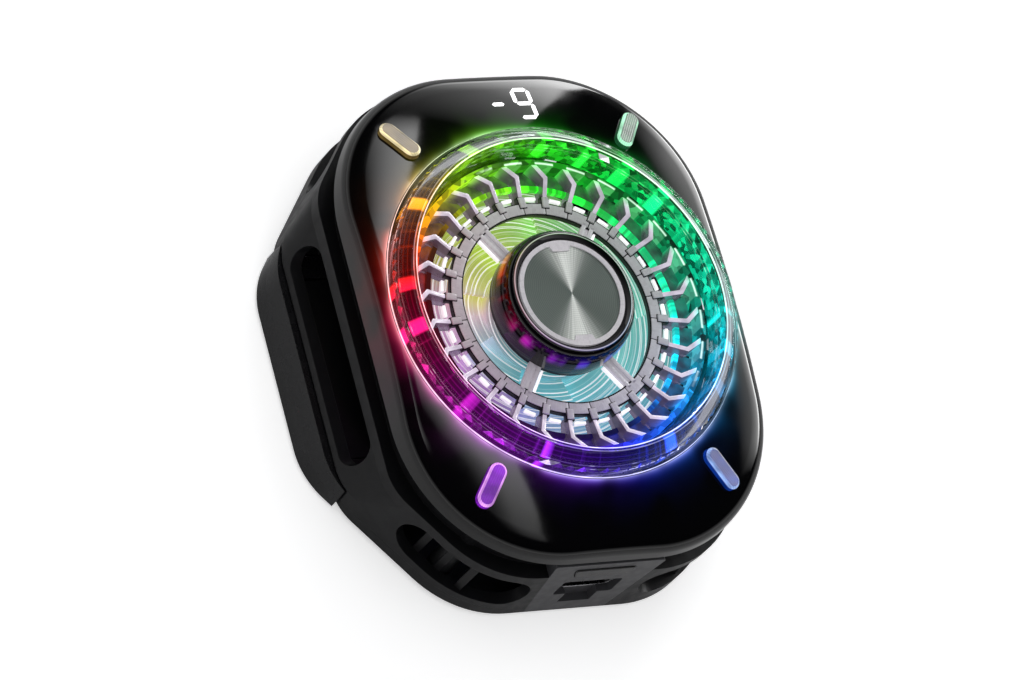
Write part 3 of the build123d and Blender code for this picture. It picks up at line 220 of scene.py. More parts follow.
ringLow, ringHigh = span("ring_lens")
shellLow, shellHigh = span("front_shell")
grilleLow, grilleHigh = span("fan_grille")
rotorLow, rotorHigh = span("rotor")
dome = {"ringRise": 3.7, "radius": 150.0}
ringRadius = ringHigh.x
ringTopZ = ringHigh.z
ringBaseZ = ringTopZ - dome["ringRise"]
domeTopZ = ringBaseZ + dome["radius"] - sqrt(dome["radius"]**2 - ringRadius**2)


def domeZ(radius):
    return domeTopZ - dome["radius"] + sqrt(dome["radius"]**2 - radius**2)


# Camera, at the photograph's angle

camSettings = {"azimuth": -54.1, "elevation": 53.7, "roll": 44.6, "distance": 1.0, "lens": 247, "sensor": 36,
               "clip": (0.05, 20), "aim": (0, 0, 0.0233), "aimPixel": (562.75, 302.5), "frame": (1020, 680),
               "pixelsPerMm": 7.0}


def addCamera(s):
    a, e, r = (radians(s[key]) for key in ("azimuth", "elevation", "roll"))
    back = Vector((sin(a) * cos(e), -cos(a) * cos(e), sin(e)))
    levelRight = Vector((cos(a), sin(a), 0))
    levelUp = back.cross(levelRight)
    right = levelRight * cos(r) + levelUp * sin(r)
    up = levelUp * cos(r) - levelRight * sin(r)
    offRight = (s["aimPixel"][0] - s["frame"][0] / 2) / s["pixelsPerMm"] * mm
    offUp = (s["frame"][1] / 2 - s["aimPixel"][1]) / s["pixelsPerMm"] * mm
    data = bpy.data.cameras.new("photoCamera")
    data.lens, data.sensor_width = s["lens"], s["sensor"]
    data.clip_start, data.clip_end = s["clip"]
    camera = addObject("photoCamera", data)
    place = Vector(s["aim"]) + back * s["distance"] - right * offRight - up * offUp
    camera.matrix_world = Matrix.Translation(place) @ Matrix((right, up, back)).transposed().to_4x4()
    scene.camera = camera


addCamera(camSettings)
print("camera placed")


# Floor, world and lights

paper = {"halfSize": 4, "drop": 0.00002, "color": "#f2f2f3", "roughness": 0.9, "glow": 0.52}
wall = {"horizon": (0.04, "#ffffff"), "ceiling": (0.42, "#0b0b0c"), "seen": "#ffffff"}


def addFloor():
    bm = bmesh.new()
    bmesh.ops.create_grid(bm, x_segments=1, y_segments=1, size=paper["halfSize"])
    floor = addObject("floor", finishMesh(bm, "floor"))
    # Matt paper: it takes the soft shadow, and the camera sees it whiter than it lights the object
    material, shader, add = newMaterial("paleFloor", Base_Color=hexColor(paper["color"]),
                                        Roughness=paper["roughness"], Specular_IOR_Level=0.0)
    glow = add("Emission", hexColor("#ffffff"), paper["glow"])
    lit = add("AddShader", shader.outputs[0], glow)
    showSurface(material, add("MixShader", add("LightPath", out="Is Camera Ray"), shader.outputs[0], lit))
    dress(floor.data, material)
    floor.location.z = -paper["drop"]
    floor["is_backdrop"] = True


def addWorld():  # white wall at the horizon, dim ceiling, and plain white behind the object
    world = bpy.data.worlds.new("studio")
    scene.world = world
    world.use_nodes = True
    add = partial(addNode, world.node_tree)
    ramp = add("ValToRGB", add("SeparateXYZ", add("TexCoord", out="Generated"), out="Z"))
    setStops(ramp, [(at, hexColor(code)) for at, code in (wall["horizon"], wall["ceiling"])])
    seen = add("Mix", add("LightPath", out="Is Camera Ray"), ramp, hexColor(wall["seen"]), **colorMix)
    setInputs(world.node_tree.nodes["Background"], seen)


softboxes = [  # direction from the object, distance, width, height, radiance; gloss shows the cards instead
    {"name": "keyBox", "toward": (0.42, 0.74, 0.52), "distance": 0.9, "size": (0.46, 0.30), "radiance": 5.0},
    {"name": "fillAbove", "toward": (0.0, 0.0, 1.0), "distance": 1.1, "size": (1.5, 1.5), "radiance": 1.2},
    {"name": "fillFront", "toward": (-0.6, -0.7, 0.4), "distance": 1.1, "size": (0.8, 0.5), "radiance": 1.4},
]


def addLights():
    for box in softboxes:
        data = bpy.data.lights.new(box["name"], "AREA")
        data.shape = "RECTANGLE"
        data.size, data.size_y = box["size"]
        data.energy = box["radiance"] * data.size * data.size_y * pi
        light = addObject(box["name"], data)
        toward = Vector(box["toward"]).normalized()
        turn = toward.to_track_quat("Z", "Y").to_matrix().to_4x4()
        light.matrix_world = Matrix.Translation(toward * box["distance"]) @ turn
        light.visible_glossy = light.visible_camera = False


# Graded cards round the object, seen only in gloss. Each side is a line of (azimuth, elevation) in degrees.
# The levels run from side a to side b, and the fade runs along them.
softEnds = [(0, 0), (0.12, 1), (0.88, 1), (1, 0)]
cards = {
    "topCard": {"a": [(46.5, 14), (48.4, 23.6), (49.5, 28.6), (50.8, 32.4), (53, 39)],
                "b": [(70, 16), (71, 25), (72, 31), (73, 36), (74, 42)], "levels": [(0, 13), (0.5, 8), (1, 0)],
                "fade": [(0, 1), (0.3, 1), (0.5, 0.55), (0.75, 0.17), (1, 0)]},
    "leftCard": {"a": [(64.5, 40), (65.3, 46), (66.7, 51.3), (69.7, 58.5), (71, 63)],
                 "b": [(73, 42), (73, 47), (73.5, 52), (74, 59), (75, 65)],
                 "levels": [(0, 5.5), (0.5, 3.0), (1, 0)], "fade": softEnds},
    "lowCard": {"a": [(70, 66), (66, 69.3), (58, 72), (50, 73), (42, 73.8), (32, 74), (22, 73.6), (15.2, 73.4),
                      (9.2, 72.3), (2.4, 71.7), (-5.2, 71), (-11.5, 70.2), (-19.1, 69.5), (-26, 68.5)],
                "b": [(72, 70), (67.5, 73), (60.5, 75.6), (54, 77), (46, 78), (35, 78.8), (24, 78.8), (16, 78.4),
                      (9, 78), (2, 77.6), (-6, 77), (-13, 76.4), (-20, 75.6), (-28, 74.5)],
                "levels": [(0, 4.2), (0.5, 3.2), (0.74, 1.2), (1, 0)],
                "fade": [(0, 0.1), (0.2, 0.75), (0.41, 1), (0.72, 0.6), (1, 0.1)]},
    "rightCard": {"a": [(2, 26), (12, 22), (22, 18), (32, 14), (45, 10)],
                  "b": [(2, 43), (12, 40.5), (22, 38.5), (32, 33), (43.5, 26)],
                  "levels": [(0, 20), (0.4, 12), (0.75, 3), (1, 0.2)], "fade": softEnds},
    "shoulderCard": {"a": [(79, 60), (78, 66), (76.5, 71), (74.5, 75), (71.5, 78.5), (66, 81.2), (56, 83.4),
                           (36, 85)],
                     "b": [(72, 60), (72, 66), (71, 71), (69, 74.5), (65.5, 77.3), (59.5, 79.6), (50, 81.2),
                           (30, 82)],
                     "levels": [(0, 1.6), (0.5, 0.8), (1, 0)], "fade": softEnds},
}
cardGrid = {"across": 12, "along": 24, "distance": 7.0}  # far off, so only its direction shows in the gloss


def cardPoint(edge, t):  # a place along a side, in degrees
    step = min(int(t * (len(edge) - 1)), len(edge) - 2)
    return Vector(edge[step]).lerp(Vector(edge[step + 1]), t * (len(edge) - 1) - step)


def cardMesh(name, card):
    across, along = cardGrid["across"], cardGrid["along"]
    bm = bmesh.new()
    layer = bm.loops.layers.uv.new("card")
    grid = []
    for i in range(along + 1):
        side = [cardPoint(card[key], i / along) for key in ("a", "b")]
        row = []
        for j in range(across + 1):
            azimuth, elevation = (radians(v) for v in side[0].lerp(side[1], j / across))
            toward = Vector((cos(azimuth) * cos(elevation), sin(azimuth) * cos(elevation), sin(elevation)))
            row.append(bm.verts.new(toward * cardGrid["distance"]))
        grid.append(row)
    for i in range(along):
        for j in range(across):
            places = ((j, i), (j, i + 1), (j + 1, i + 1), (j + 1, i))
            face = bm.faces.new([grid[v][u] for u, v in places])
            for loop, (u, v) in zip(face.loops, places):
                loop[layer].uv = (u / across, v / along)
    mesh = bpy.data.meshes.new(name)
    bm.to_mesh(mesh)
    bm.free()
    return mesh


def addCard(name, card):
    obj = addObject(name, cardMesh(name, card))
    material, shader, add = newMaterial(name)
    material.node_tree.nodes.remove(shader)
    uv = add("SeparateXYZ", add("TexCoord", out="UV")).node.outputs
    top = max(level for _, level in card["levels"])
    levels = [(at, level / top) for at, level in card["levels"]]
    ramps = [add("ValToRGB", uv["X"]), add("ValToRGB", uv["Y"])]
    for ramp, steps in zip(ramps, (levels, card["fade"])):
        setStops(ramp, [(at, [level] * 3 + [1]) for at, level in steps])
    strength = add("Math", add("Math", ramps[0], top, **times), ramps[1], **times)
    showSurface(material, add("Emission", Strength=strength))
    dress(obj.data, material)
    obj.visible_camera = obj.visible_diffuse = obj.visible_shadow = obj.visible_transmission = False
    obj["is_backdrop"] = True


addFloor()
addWorld()
addLights()
for name, card in cards.items():
    addCard(name, card)
print("floor, world, lights and cards placed")


# The ring's colours: one hue for each direction round the ring, in degrees

ringPalette = {24: "#12e58c", 60: "#16ee3a", 84: "#35f51e", 116: "#a6f01a", 138: "#ffae14", 156: "#ff4a12",
               172: "#ff1622", 196: "#ff1c86", 226: "#e32cff", 254: "#8a2cff", 280: "#2c34ff", 306: "#1f78ff",
               330: "#14c8ff", 352: "#10ecd8"}


def angleShare(add, turnDegrees=0.0):  # 0 to 1 anticlockwise from +X
    xyz = add("SeparateXYZ", add("TexCoord", out="Object")).node.outputs
    turns = add("Math", add("Math", xyz["Y"], xyz["X"], operation="ARCTAN2"), 2 * pi, operation="DIVIDE")
    return add("Math", add("Math", turns, 1 + turnDegrees / 360, operation="ADD"), operation="FRACT")


def paletteColor(add, palette=ringPalette):
    stops = [(at / 360, hexColor(code)) for at, code in sorted(palette.items())]
    # The ramp doesn't wrap, so both ends get the colour between the last stop and the first
    wrap = [(a + b) / 2 for a, b in zip(stops[0][1], stops[-1][1])]
    ramp = add("ValToRGB", angleShare(add))
    setStops(ramp, [(0.0, wrap)] + stops + [(1.0, wrap)])
    return ramp


def objectRadius(add):  # distance from the fan's axis, in millimetres
    flat = add("VectorMath", add("TexCoord", out="Object"), (1 / mm, 1 / mm, 0), **times)
    return add("VectorMath", flat, operation="LENGTH")


def objectHeight(add):  # millimetres above the cold face
    return add("Math", add("SeparateXYZ", add("TexCoord", out="Object"), out="Z"), mm, operation="DIVIDE")


def grain(add, scale, detail=3.0):  # cloudy noise through the piece, scale in waves per millimetre
    return add("TexNoise", Vector=add("TexCoord", out="Object"), Scale=scale / mm, Detail=detail)


def angularNoise(add, waves, detail):  # noise that runs round the ring and doesn't change with the height
    flat = add("VectorMath", add("TexCoord", out="Object"), (1, 1, 0), **times)
    return add("TexNoise", Vector=add("VectorMath", flat, operation="NORMALIZE"), Scale=waves, Detail=detail)


def crystals(add, scale):  # cut cells with a tone of their own, scale in cells per millimetre
    cells = add("TexVoronoi", Vector=add("TexCoord", out="Object"), Scale=scale / mm, feature="F1").node.outputs
    return add("SeparateXYZ", cells["Color"], out="X"), cells["Distance"]


def lineAt(add, value, centre, halfWidth):  # 1 at the centre, 0 past the half width
    off = add("Math", add("Math", value, centre, operation="SUBTRACT"), operation="ABSOLUTE")
    return add("MapRange", off, 0.0, halfWidth, 1.0, 0.0, **smooth)


def fromMiddle(add, count, shift=0.0):  # the ring in so many parts: 0 in the middle of each, 0.5 at its ends
    part = add("Math", add("Math", angleShare(add), count, shift, **timesPlus), operation="FRACT")
    return add("Math", add("Math", part, 0.5, operation="SUBTRACT"), operation="ABSOLUTE")


def roughen(add, shader, level, spread, scale):  # a handled surface is never evenly glossy
    cloud = add("MapRange", grain(add, scale), 0.3, 0.7, level - spread, level + spread, **smooth)
    setInputs(shader, Roughness=cloud)


def relief(add, shader, height, depth, radius=None):  # depth in millimetres, radius rounds the edges
    rounding = {"Normal": add("Bevel", radius * mm, samples=4)} if radius else {}
    setInputs(shader, Normal=add("Bump", Height=height, Distance=depth * mm, **rounding))


# Materials. Real grit is finer than a pixel here, so it is drawn 0.2 to 1 mm wide.

def mouldedPlastic(name, code, roughness, grit, depth, specular=0.35, radius=0.15):
    # From a spark-eroded mould: a fine even grain that softens the highlight
    material, shader, add = newMaterial(name, Base_Color=hexColor(code), IOR=1.5, Specular_IOR_Level=specular)
    roughen(add, shader, roughness, 0.05, 0.6)
    relief(add, shader, grain(add, grit, 2.0), depth, radius)
    return material


def metal(name, code, roughness, grit=4.0, depth=0.004, radius=0.08):
    # Bare or plated, with a satin skin: its own colour in the highlight, and softly rounded edges
    material, shader, add = newMaterial(name, Base_Color=hexColor(code), Metallic=1.0)
    roughen(add, shader, roughness, 0.06, 1.5)
    relief(add, shader, grain(add, grit, 2.0), depth, radius)
    return material


def glowMaterial(name, code, strength, scale):
    # Diode light behind a diffuser: nearly even, a little brighter in places. On the grille's edge plates, which
    # are no lamps, the same glow is a painted highlight
    material, shader, add = newMaterial(name, Base_Color=hexColor("#e8e8e8"), Emission_Color=hexColor(code))
    roughen(add, shader, 0.4, 0.05, 0.8)
    level = add("MapRange", grain(add, scale), 0.3, 0.7, strength * 0.85, strength * 1.15, **smooth)
    setInputs(shader, Emission_Strength=level)
    relief(add, shader, grain(add, 2.0), 0.004)
    return material


bodyAbs = mouldedPlastic("satinAbs", "#101012", 0.42, 3.0, 0.006, 0.3)  # black with a soft grey sheen
armAbs = mouldedPlastic("semiGlossAbs", "#121214", 0.26, 2.0, 0.002, 0.4)  # smoother, so its edges light up
panelAbs = mouldedPlastic("greyAbs", "#3a3a3d", 0.36, 3.0, 0.004, 0.4)  # dark grey, a shade off the body
buttonAbs = mouldedPlastic("blackButtonAbs", "#0c0c0d", 0.22, 2.0, 0.001, 0.5, 0.1)  # smooth as a worn key
rubber = mouldedPlastic("siliconeRubber", "#3b3b3e", 0.62, 5.0, 0.008, 0.3)  # matt, no clear highlight
foam = mouldedPlastic("closedCellFoam", "#0d0d0d", 0.85, 2.0, 0.03, 0.2)  # flat black with small cells
ceramic = mouldedPlastic("aluminaCeramic", "#dcdad4", 0.5, 4.0, 0.004, 0.4)  # fired, chalky white
boardMask = mouldedPlastic("solderMask", "#0b2a1a", 0.3, 1.0, 0.004, 0.5)  # dark green lacquer, half gloss
connectorLcp = mouldedPlastic("connectorLcp", "#0a0a0a", 0.4, 3.0, 0.002, 0.4)  # dense plain black
frostedBase = mouldedPlastic("frostedBase", "#7f8a8c", 0.4, 3.0, 0.004, 0.3)  # milky grey behind the blades
steel = metal("platedSteel", "#b9b9bc", 0.24)  # bright, with soft reflections
aluminium = metal("skivedAluminium", "#c3c5c8", 0.34, 2.0, 0.006)  # pale fins with faint cutting waves
plateMetal = metal("blastedAluminium", "#b2b4b8", 0.4, 6.0, 0.006)  # even satin grey
copper = metal("enamelledCopper", "#b45f34", 0.25)  # reddish wire under clear enamel
bronze = metal("sinteredBronze", "#9a7444", 0.4)  # dull gold
ferrite = metal("ferriteMagnet", "#2a2a2c", 0.55)  # dark and dull

nodeFinish = {
    bodyAbs: "mid_frame rear_cover claw_left claw_right", armAbs: "arm_left arm_right",
    panelAbs: "port_panel", buttonAbs: "mode_button", frostedBase: "fan_base", bronze: "bearing_bush",
    connectorLcp: "mode_switch usb_tongue display_block", copper: "stator_coils", ferrite: "rotor_magnet",
    boardMask: "switch_board light_board motor_board main_board", aluminium: "heat_sink",
    steel: "stator_core fan_shaft usb_socket rear_screws sink_screws shell_screws claw_pin_left claw_pin_right "
           "arm_springs_left arm_springs_right",
    ceramic: "peltier_module", foam: "foam_frame", plateMetal: "cold_plate",
    rubber: "contact_pad claw_pad_left claw_pad_right",
}
for material, names in nodeFinish.items():
    for name in names.split():
        dress(nodes[name].data, material)
print("CAD nodes finished:", sum(len(names.split()) for names in nodeFinish.values()))


# Gloss cover: drafted sides, a rolled shoulder and a shallow dome

shell = {"wall": 1.5, "edgeZ": shellLow.z, "draft": 4.0, "corner": 22.5, "shoulder": 2.2, "innerShoulder": 0.7,
         "cornerSteps": 40, "sideSteps": 24, "shoulderSteps": 10, "domeRings": 26, "gap": 0.1}
capsule = {"x": 18.7, "y": 26.95, "length": 7.0, "width": 2.6, "rise": 1.0, "bevel": 0.36, "foot": 1.6}
# Painted light on the cover: a glow in the ring's colours that fades away from the ring and is whiter close to it
paintedRingLight = {"fall": 2.6, "wideFall": 0.7, "wide": 0.1, "white": 0.45, "patch": 0.16, "least": 0.2, "most": 1.3}
quadrants = [(1, 1), (-1, 1), (-1, -1), (1, -1)]


def roundedOutline(halfX, halfY, corner):  # points with their outward normals
    points = []
    centres = [(sx * (halfX - corner), sy * (halfY - corner)) for sx, sy in quadrants]
    for k, (cx, cy) in enumerate(centres):
        for i in range(shell["cornerSteps"] + 1):
            a = radians(90 * k + 90 * i / shell["cornerSteps"])
            points.append((Vector((cx + corner * cos(a), cy + corner * sin(a), 0)), Vector((cos(a), sin(a), 0))))
        start, normal = points[-1]
        end = Vector((*centres[(k + 1) % 4], 0)) + corner * normal
        points += [(start.lerp(end, i / shell["sideSteps"]), normal) for i in range(1, shell["sideSteps"])]
    return points


def shellSkin(margin, shoulder):  # columns of points from the bottom edge up and in to the axis
    outline = roundedOutline(shellHigh.x - margin, shellHigh.y - margin, shell["corner"] - margin)
    slope = radians(shell["draft"])
    sphere = dome["radius"] - margin
    centre = Vector((0, 0, domeTopZ - dome["radius"]))
    columns = []
    for point, out in outline:
        c = point - out * shoulder + Vector((0, 0, domeTopZ - 4))
        for _ in range(6):  # settles the shoulder's centre between the drafted side and the dome
            inward = (c.z - shell["edgeZ"]) * tan(slope) + shoulder / cos(slope)
            c = point - out * inward
            c.z = centre.z + sqrt((sphere - shoulder)**2 - c.x**2 - c.y**2)
        sideNormal = out * cos(slope) + Vector((0, 0, sin(slope)))
        topNormal = (c - centre).normalized()
        column = [Vector((point.x, point.y, shell["edgeZ"])), c + sideNormal * shoulder]
        turn = sideNormal.angle(topNormal)
        for i in range(1, shell["shoulderSteps"] + 1):
            t = i / shell["shoulderSteps"]
            mixed = sideNormal * (sin((1 - t) * turn) / sin(turn)) + topNormal * (sin(t * turn) / sin(turn))
            column.append(c + mixed * shoulder)
        end = column[-1]
        for i in range(1, shell["domeRings"]):
            t = 1 - i / shell["domeRings"]
            flat = Vector((end.x * t, end.y * t, 0))
            flat.z = centre.z + sqrt(sphere**2 - flat.x**2 - flat.y**2)
            column.append(flat)
        columns.append(column)
    return columns, Vector((0, 0, centre.z + sphere))


def shellMesh():
    bm = bmesh.new()
    grids = []
    for margin, shoulder in ((0.0, shell["shoulder"]), (shell["wall"], shell["innerShoulder"])):
        columns, tip = shellSkin(margin, shoulder)
        grid = [[bm.verts.new(p * mm) for p in column] for column in columns]
        top = bm.verts.new(tip * mm)
        for a, b in zip(grid, grid[1:] + grid[:1]):
            for i in range(len(a) - 1):
                bm.faces.new((a[i], b[i], b[i + 1], a[i + 1]))
            bm.faces.new((a[-1], b[-1], top))
        grids.append(grid)
    outer, inner = grids
    for i in range(len(outer)):
        j = (i + 1) % len(outer)
        bm.faces.new((outer[i][0], outer[j][0], inner[j][0], inner[i][0]))
    return finishMesh(bm, "frontShell")


def capsuleFrame(sx, sy):  # lies on the dome, X away from the axis
    radius = hypot(capsule["x"], capsule["y"])
    slope = asin(radius / dome["radius"])
    out = Vector((sx * capsule["x"], sy * capsule["y"], 0)) / radius
    up = out * sin(slope) + Vector((0, 0, cos(slope)))
    along = out * cos(slope) - Vector((0, 0, sin(slope)))
    place = Vector((sx * capsule["x"], sy * capsule["y"], domeZ(radius))) * mm
    return Matrix.Translation(place) @ Matrix((along, up.cross(along), up)).transposed().to_4x4()


def slotPoints(length, width, steps=16):
    half, straight = width / 2, (length - width) / 2
    return arcPoints((straight, 0), half, -90, 90, steps) + arcPoints((-straight, 0), half, 90, 270, steps)


def cutWith(obj, cutters):
    for cutter in cutters:
        tool = addObject("cutter", cutter)
        modifier = obj.modifiers.new("cut", "BOOLEAN")
        modifier.operation, modifier.solver, modifier.object = "DIFFERENCE", "EXACT", tool
        graph = bpy.context.evaluated_depsgraph_get()
        mesh = bpy.data.meshes.new_from_object(obj.evaluated_get(graph))
        obj.modifiers.clear()
        obj.data = mesh
        bpy.data.objects.remove(tool)


def glossAbs():
    # Piano black: high-gloss ABS from a polished mould, so the cards show as clean shapes in it.
    # Close to the ring a painted glow in the ring's colours stands for the ring's light falling on the cover.
    material, shader, add = newMaterial("pianoBlackAbs", Base_Color=hexColor("#050506"), IOR=1.5,
                                        Specular_IOR_Level=0.5)
    roughen(add, shader, 0.055, 0.02, 0.12)
    # painted light: the ring's glow on the cover, strongest at the ring and patchy round it
    away = add("Math", objectRadius(add), ringRadius, operation="SUBTRACT")
    close, wide = (add("Math", add("Math", away, -paintedRingLight[key], **times), operation="EXPONENT")
                   for key in ("fall", "wideFall"))
    patchy = add("MapRange", grain(add, paintedRingLight["patch"], 1.0), 0.35, 0.68, paintedRingLight["least"], paintedRingLight["most"], **smooth)
    whiteness = add("Math", close, paintedRingLight["white"], **times)
    color = add("Mix", whiteness, paletteColor(add), hexColor("#ffffff"), **colorMix)
    level = add("Math", wide, paintedRingLight["wide"], close, **timesPlus)
    setInputs(shader, Emission_Color=color, Emission_Strength=add("Math", level, patchy, **times))
    return material


frontShell = addPiece("frontShell", shellMesh(), None, "root", "front_shell")
holeRadius = ringRadius + shell["gap"]
ringHole = latheMesh("ringHole", [(0, 10), (holeRadius, 10), (holeRadius, 40), (0, 40)])
slotOutline = slotPoints(capsule["length"] + 2 * shell["gap"], capsule["width"] + 2 * shell["gap"])
slots = [stackMesh("slot", [(slotOutline, -4), (slotOutline, 4)], capsuleFrame(sx, sy)) for sx, sy in quadrants]
cutWith(frontShell, [ringHole] + slots)
dress(frontShell.data, glossAbs())
shade(frontShell.data)
print("front shell made:", len(frontShell.data.polygons), "faces")


# Copies round the fan's axis, with Geometry Nodes

def roundTree():
    tree = bpy.data.node_groups.new("copiesRoundTheAxis", "GeometryNodeTree")
    for label, kind in (("Geometry", "Geometry"), ("Count", "Int"), ("Start", "Float"), ("Shape", "Object"),
                        ("Finish", "Material")):
        tree.interface.new_socket(label, in_out="INPUT", socket_type="NodeSocket" + kind)
    tree.interface.new_socket("Geometry", in_out="OUTPUT", socket_type="NodeSocketGeometry")
    add = partial(addNode, tree)
    given = add("NodeGroupInput").node.outputs
    step = add("Math", 2 * pi, given["Count"], operation="DIVIDE")
    angle = add("Math", add("GeometryNodeInputIndex"), step, given["Start"], **timesPlus)
    shape = add("GeometryNodeObjectInfo", Object=given["Shape"], out="Geometry")
    copies = add("GeometryNodeInstanceOnPoints", Points=add("GeometryNodePoints", given["Count"]),
                 Instance=shape, Rotation=add("CombineXYZ", Z=angle))
    real = add("GeometryNodeRealizeInstances", copies)
    add("NodeGroupOutput", add("GeometryNodeSetMaterial", Geometry=real, Material=given["Finish"]))
    return tree


copiesTree = roundTree()


def copiesRound(name, shapeMesh, count, startDegrees, material, sharpAngle=30):
    shapeObject = addObject(name + "Shape", shapeMesh)
    host = addObject(name + "Host", bpy.data.meshes.new(name + "Host"))
    modifier = host.modifiers.new("copies", "NODES")
    modifier.node_group = copiesTree
    values = {"Count": count, "Start": radians(startDegrees), "Shape": shapeObject, "Finish": material}
    for item in copiesTree.interface.items_tree:
        if item.in_out == "INPUT" and item.name in values:
            modifier[item.identifier] = values[item.name]
    mesh = bpy.data.meshes.new_from_object(host.evaluated_get(bpy.context.evaluated_depsgraph_get()))
    for obj in (host, shapeObject):
        bpy.data.objects.remove(obj)
    mesh.name = name
    shade(mesh, sharpAngle)
    return mesh


# Light ring: clear lens, light guide with two rows of prisms

ringLens = {"lean": 3.2, "innerLean": 1.1, "wall": 0.5, "shoulderDrop": 2.0, "shoulderInset": 0.6,
            "footDrop": 0.6, "foot": ringLow.z, "capSteps": 16, "chamfer": 0.1}
lensGlow = {"rimLine": 2.4, "capLine": 0.6, "footLine": 2.0, "kneeLine": 0.7, "kneeLeast": 0.14,
            "kneeRise": 1.68, "white": 0.55, "mirror": 0.7, "facing": 0.14}
guide = {"outer": 26.5, "inner": 24.5, "crest": 25.0, "foot": 20.6, "kneeRise": 1.5, "crestDrop": 0.85,
         "diodes": 24, "hot": 2.4, "streaks": 0.35, "least": 0.09, "bands": 7.0, "band": 0.16, "cells": 1.1}
prisms = {"count": 90, "depth": 0.4, "rise": 1.35, "innerDepth": 0.2, "innerDrop": 2.2, "tip": 0.36}
rimRadius = ringRadius - ringLens["lean"]


def lensMaterial():
    # Clear polycarbonate: the eye looks through it, and its lit edges draw the ring's thin bright lines
    material, shader, add = newMaterial("clearPolycarbonate")
    material.node_tree.nodes.remove(shader)
    clear = add("BsdfTransparent", hexColor("#eeeef2"))
    gloss = add("BsdfGlossy", Color=hexColor("#ffffff"), Roughness=0.05)
    mirror = add("Math", add("LayerWeight", lensGlow["facing"], out="Fresnel"), lensGlow["mirror"], **times)
    skin = add("MixShader", mirror, clear, gloss)
    radius, height = objectRadius(add), objectHeight(add)
    capRadius = rimRadius + ringLens["wall"] + 0.1
    edges = (  # strength, the measure across the line, its centre and half width, the other measure and its start
        (lensGlow["rimLine"], radius, rimRadius + 0.12, 0.16, height, ringTopZ - 0.12, ringTopZ - 0.04),
        (lensGlow["capLine"], radius, capRadius, 0.13, height, ringTopZ - 0.5, ringTopZ - 0.2),
        (lensGlow["footLine"], height, ringBaseZ + 0.12, 0.2, radius, ringRadius - 0.4, ringRadius - 0.2))
    ticks = add("MapRange", fromMiddle(add, guide["diodes"]), 0.04, 0.07, lensGlow["kneeLine"],
                lensGlow["kneeLeast"], **smooth)
    knee = lineAt(add, height, ringBaseZ + lensGlow["kneeRise"], 0.1)
    lines = add("Math", knee, ticks, **times)
    for strength, across, centre, halfWidth, other, start, full in edges:
        line = add("Math", lineAt(add, across, centre, halfWidth), add("MapRange", other, start, full, **smooth),
                   **times)
        lines = add("Math", line, strength, lines, **timesPlus)
    waves = add("MapRange", angularNoise(add, 9.0, 3.0), 0.3, 0.7, 0.6, 1.0, **smooth)
    color = add("Mix", lensGlow["white"], paletteColor(add), hexColor("#ffffff"), **colorMix)
    glow = add("Emission", color, add("Math", lines, waves, **times))
    showSurface(material, add("AddShader", skin, glow))
    return material


def guideMaterial():
    # Smoked light guide: dark between the diodes, with a saturated block of light over each lit one
    material, shader, add = newMaterial("smokedLightGuide", Base_Color=hexColor("#070608"), IOR=1.5)
    roughen(add, shader, 0.12, 0.04, 0.5)
    block = add("MapRange", fromMiddle(add, guide["diodes"]), 0.11, 0.2, 1.0, 0.0, **smooth)
    lit = add("MapRange", angularNoise(add, 2.6, 1.0), 0.47, 0.56, **smooth)
    litBlock = add("Math", block, lit, **times)
    streaks = add("MapRange", angularNoise(add, 30.0, 4.0), 0.45, 0.75, **smooth)
    base = add("Math", add("Math", streaks, 2.0, operation="POWER"), guide["streaks"], guide["least"], **timesPlus)
    wave = add("Math", add("Math", objectHeight(add), guide["bands"], **times), operation="SINE")
    bands = add("Math", add("Math", wave, operation="ABSOLUTE"), 12.0, operation="POWER")
    strength = add("Math", bands, guide["band"], base, **timesPlus)
    strength = add("Math", litBlock, guide["hot"], strength, **timesPlus)
    tone, edge = crystals(add, guide["cells"])
    inside = add("MapRange", objectRadius(add), guide["inner"] + 0.05, guide["inner"] + 0.15, 1.0, 0.0, **smooth)
    crystal = add("Math", add("Math", tone, 2.2, operation="POWER"), 1.5, 0.12, **timesPlus)
    strength = add("Math", strength, add("Math", inside, crystal, **times), operation="MAXIMUM")
    setInputs(shader, Emission_Color=paletteColor(add), Emission_Strength=strength)
    relief(add, shader, add("Math", inside, edge, **times), 0.02)
    return material


def prismMaterial(name, phase, least, most):
    # Cut acrylic prisms: each triangle takes its own share of the diodes' light, and a few carry a painted white
    # glint
    material, shader, add = newMaterial(name, Base_Color=hexColor("#0a080c"), IOR=1.5)
    roughen(add, shader, 0.1, 0.04, 0.8)
    number = add("Math", angleShare(add), prisms["count"], phase, **timesPlus)
    lot = add("TexWhiteNoise", W=add("Math", number, operation="FLOOR"), noise_dimensions="1D", out="Value")
    level = add("Math", add("Math", lot, 1.4, operation="POWER"), most - least, least, **timesPlus)
    # painted glint: a few prisms turn white as if catching a highlight
    paintedGlint = add("MapRange", lot, 0.93, 0.95, **smooth)
    color = add("Mix", paintedGlint, paletteColor(add), hexColor("#ffffff"), **colorMix)
    facet = add("MapRange", grain(add, 0.9, 0.0), 0.4, 0.6, 0.75, 1.25, **smooth)
    setInputs(shader, Emission_Color=color, Emission_Strength=add("Math", level, facet, **times))
    relief(add, shader, grain(add, 2.0), 0.01)
    return material


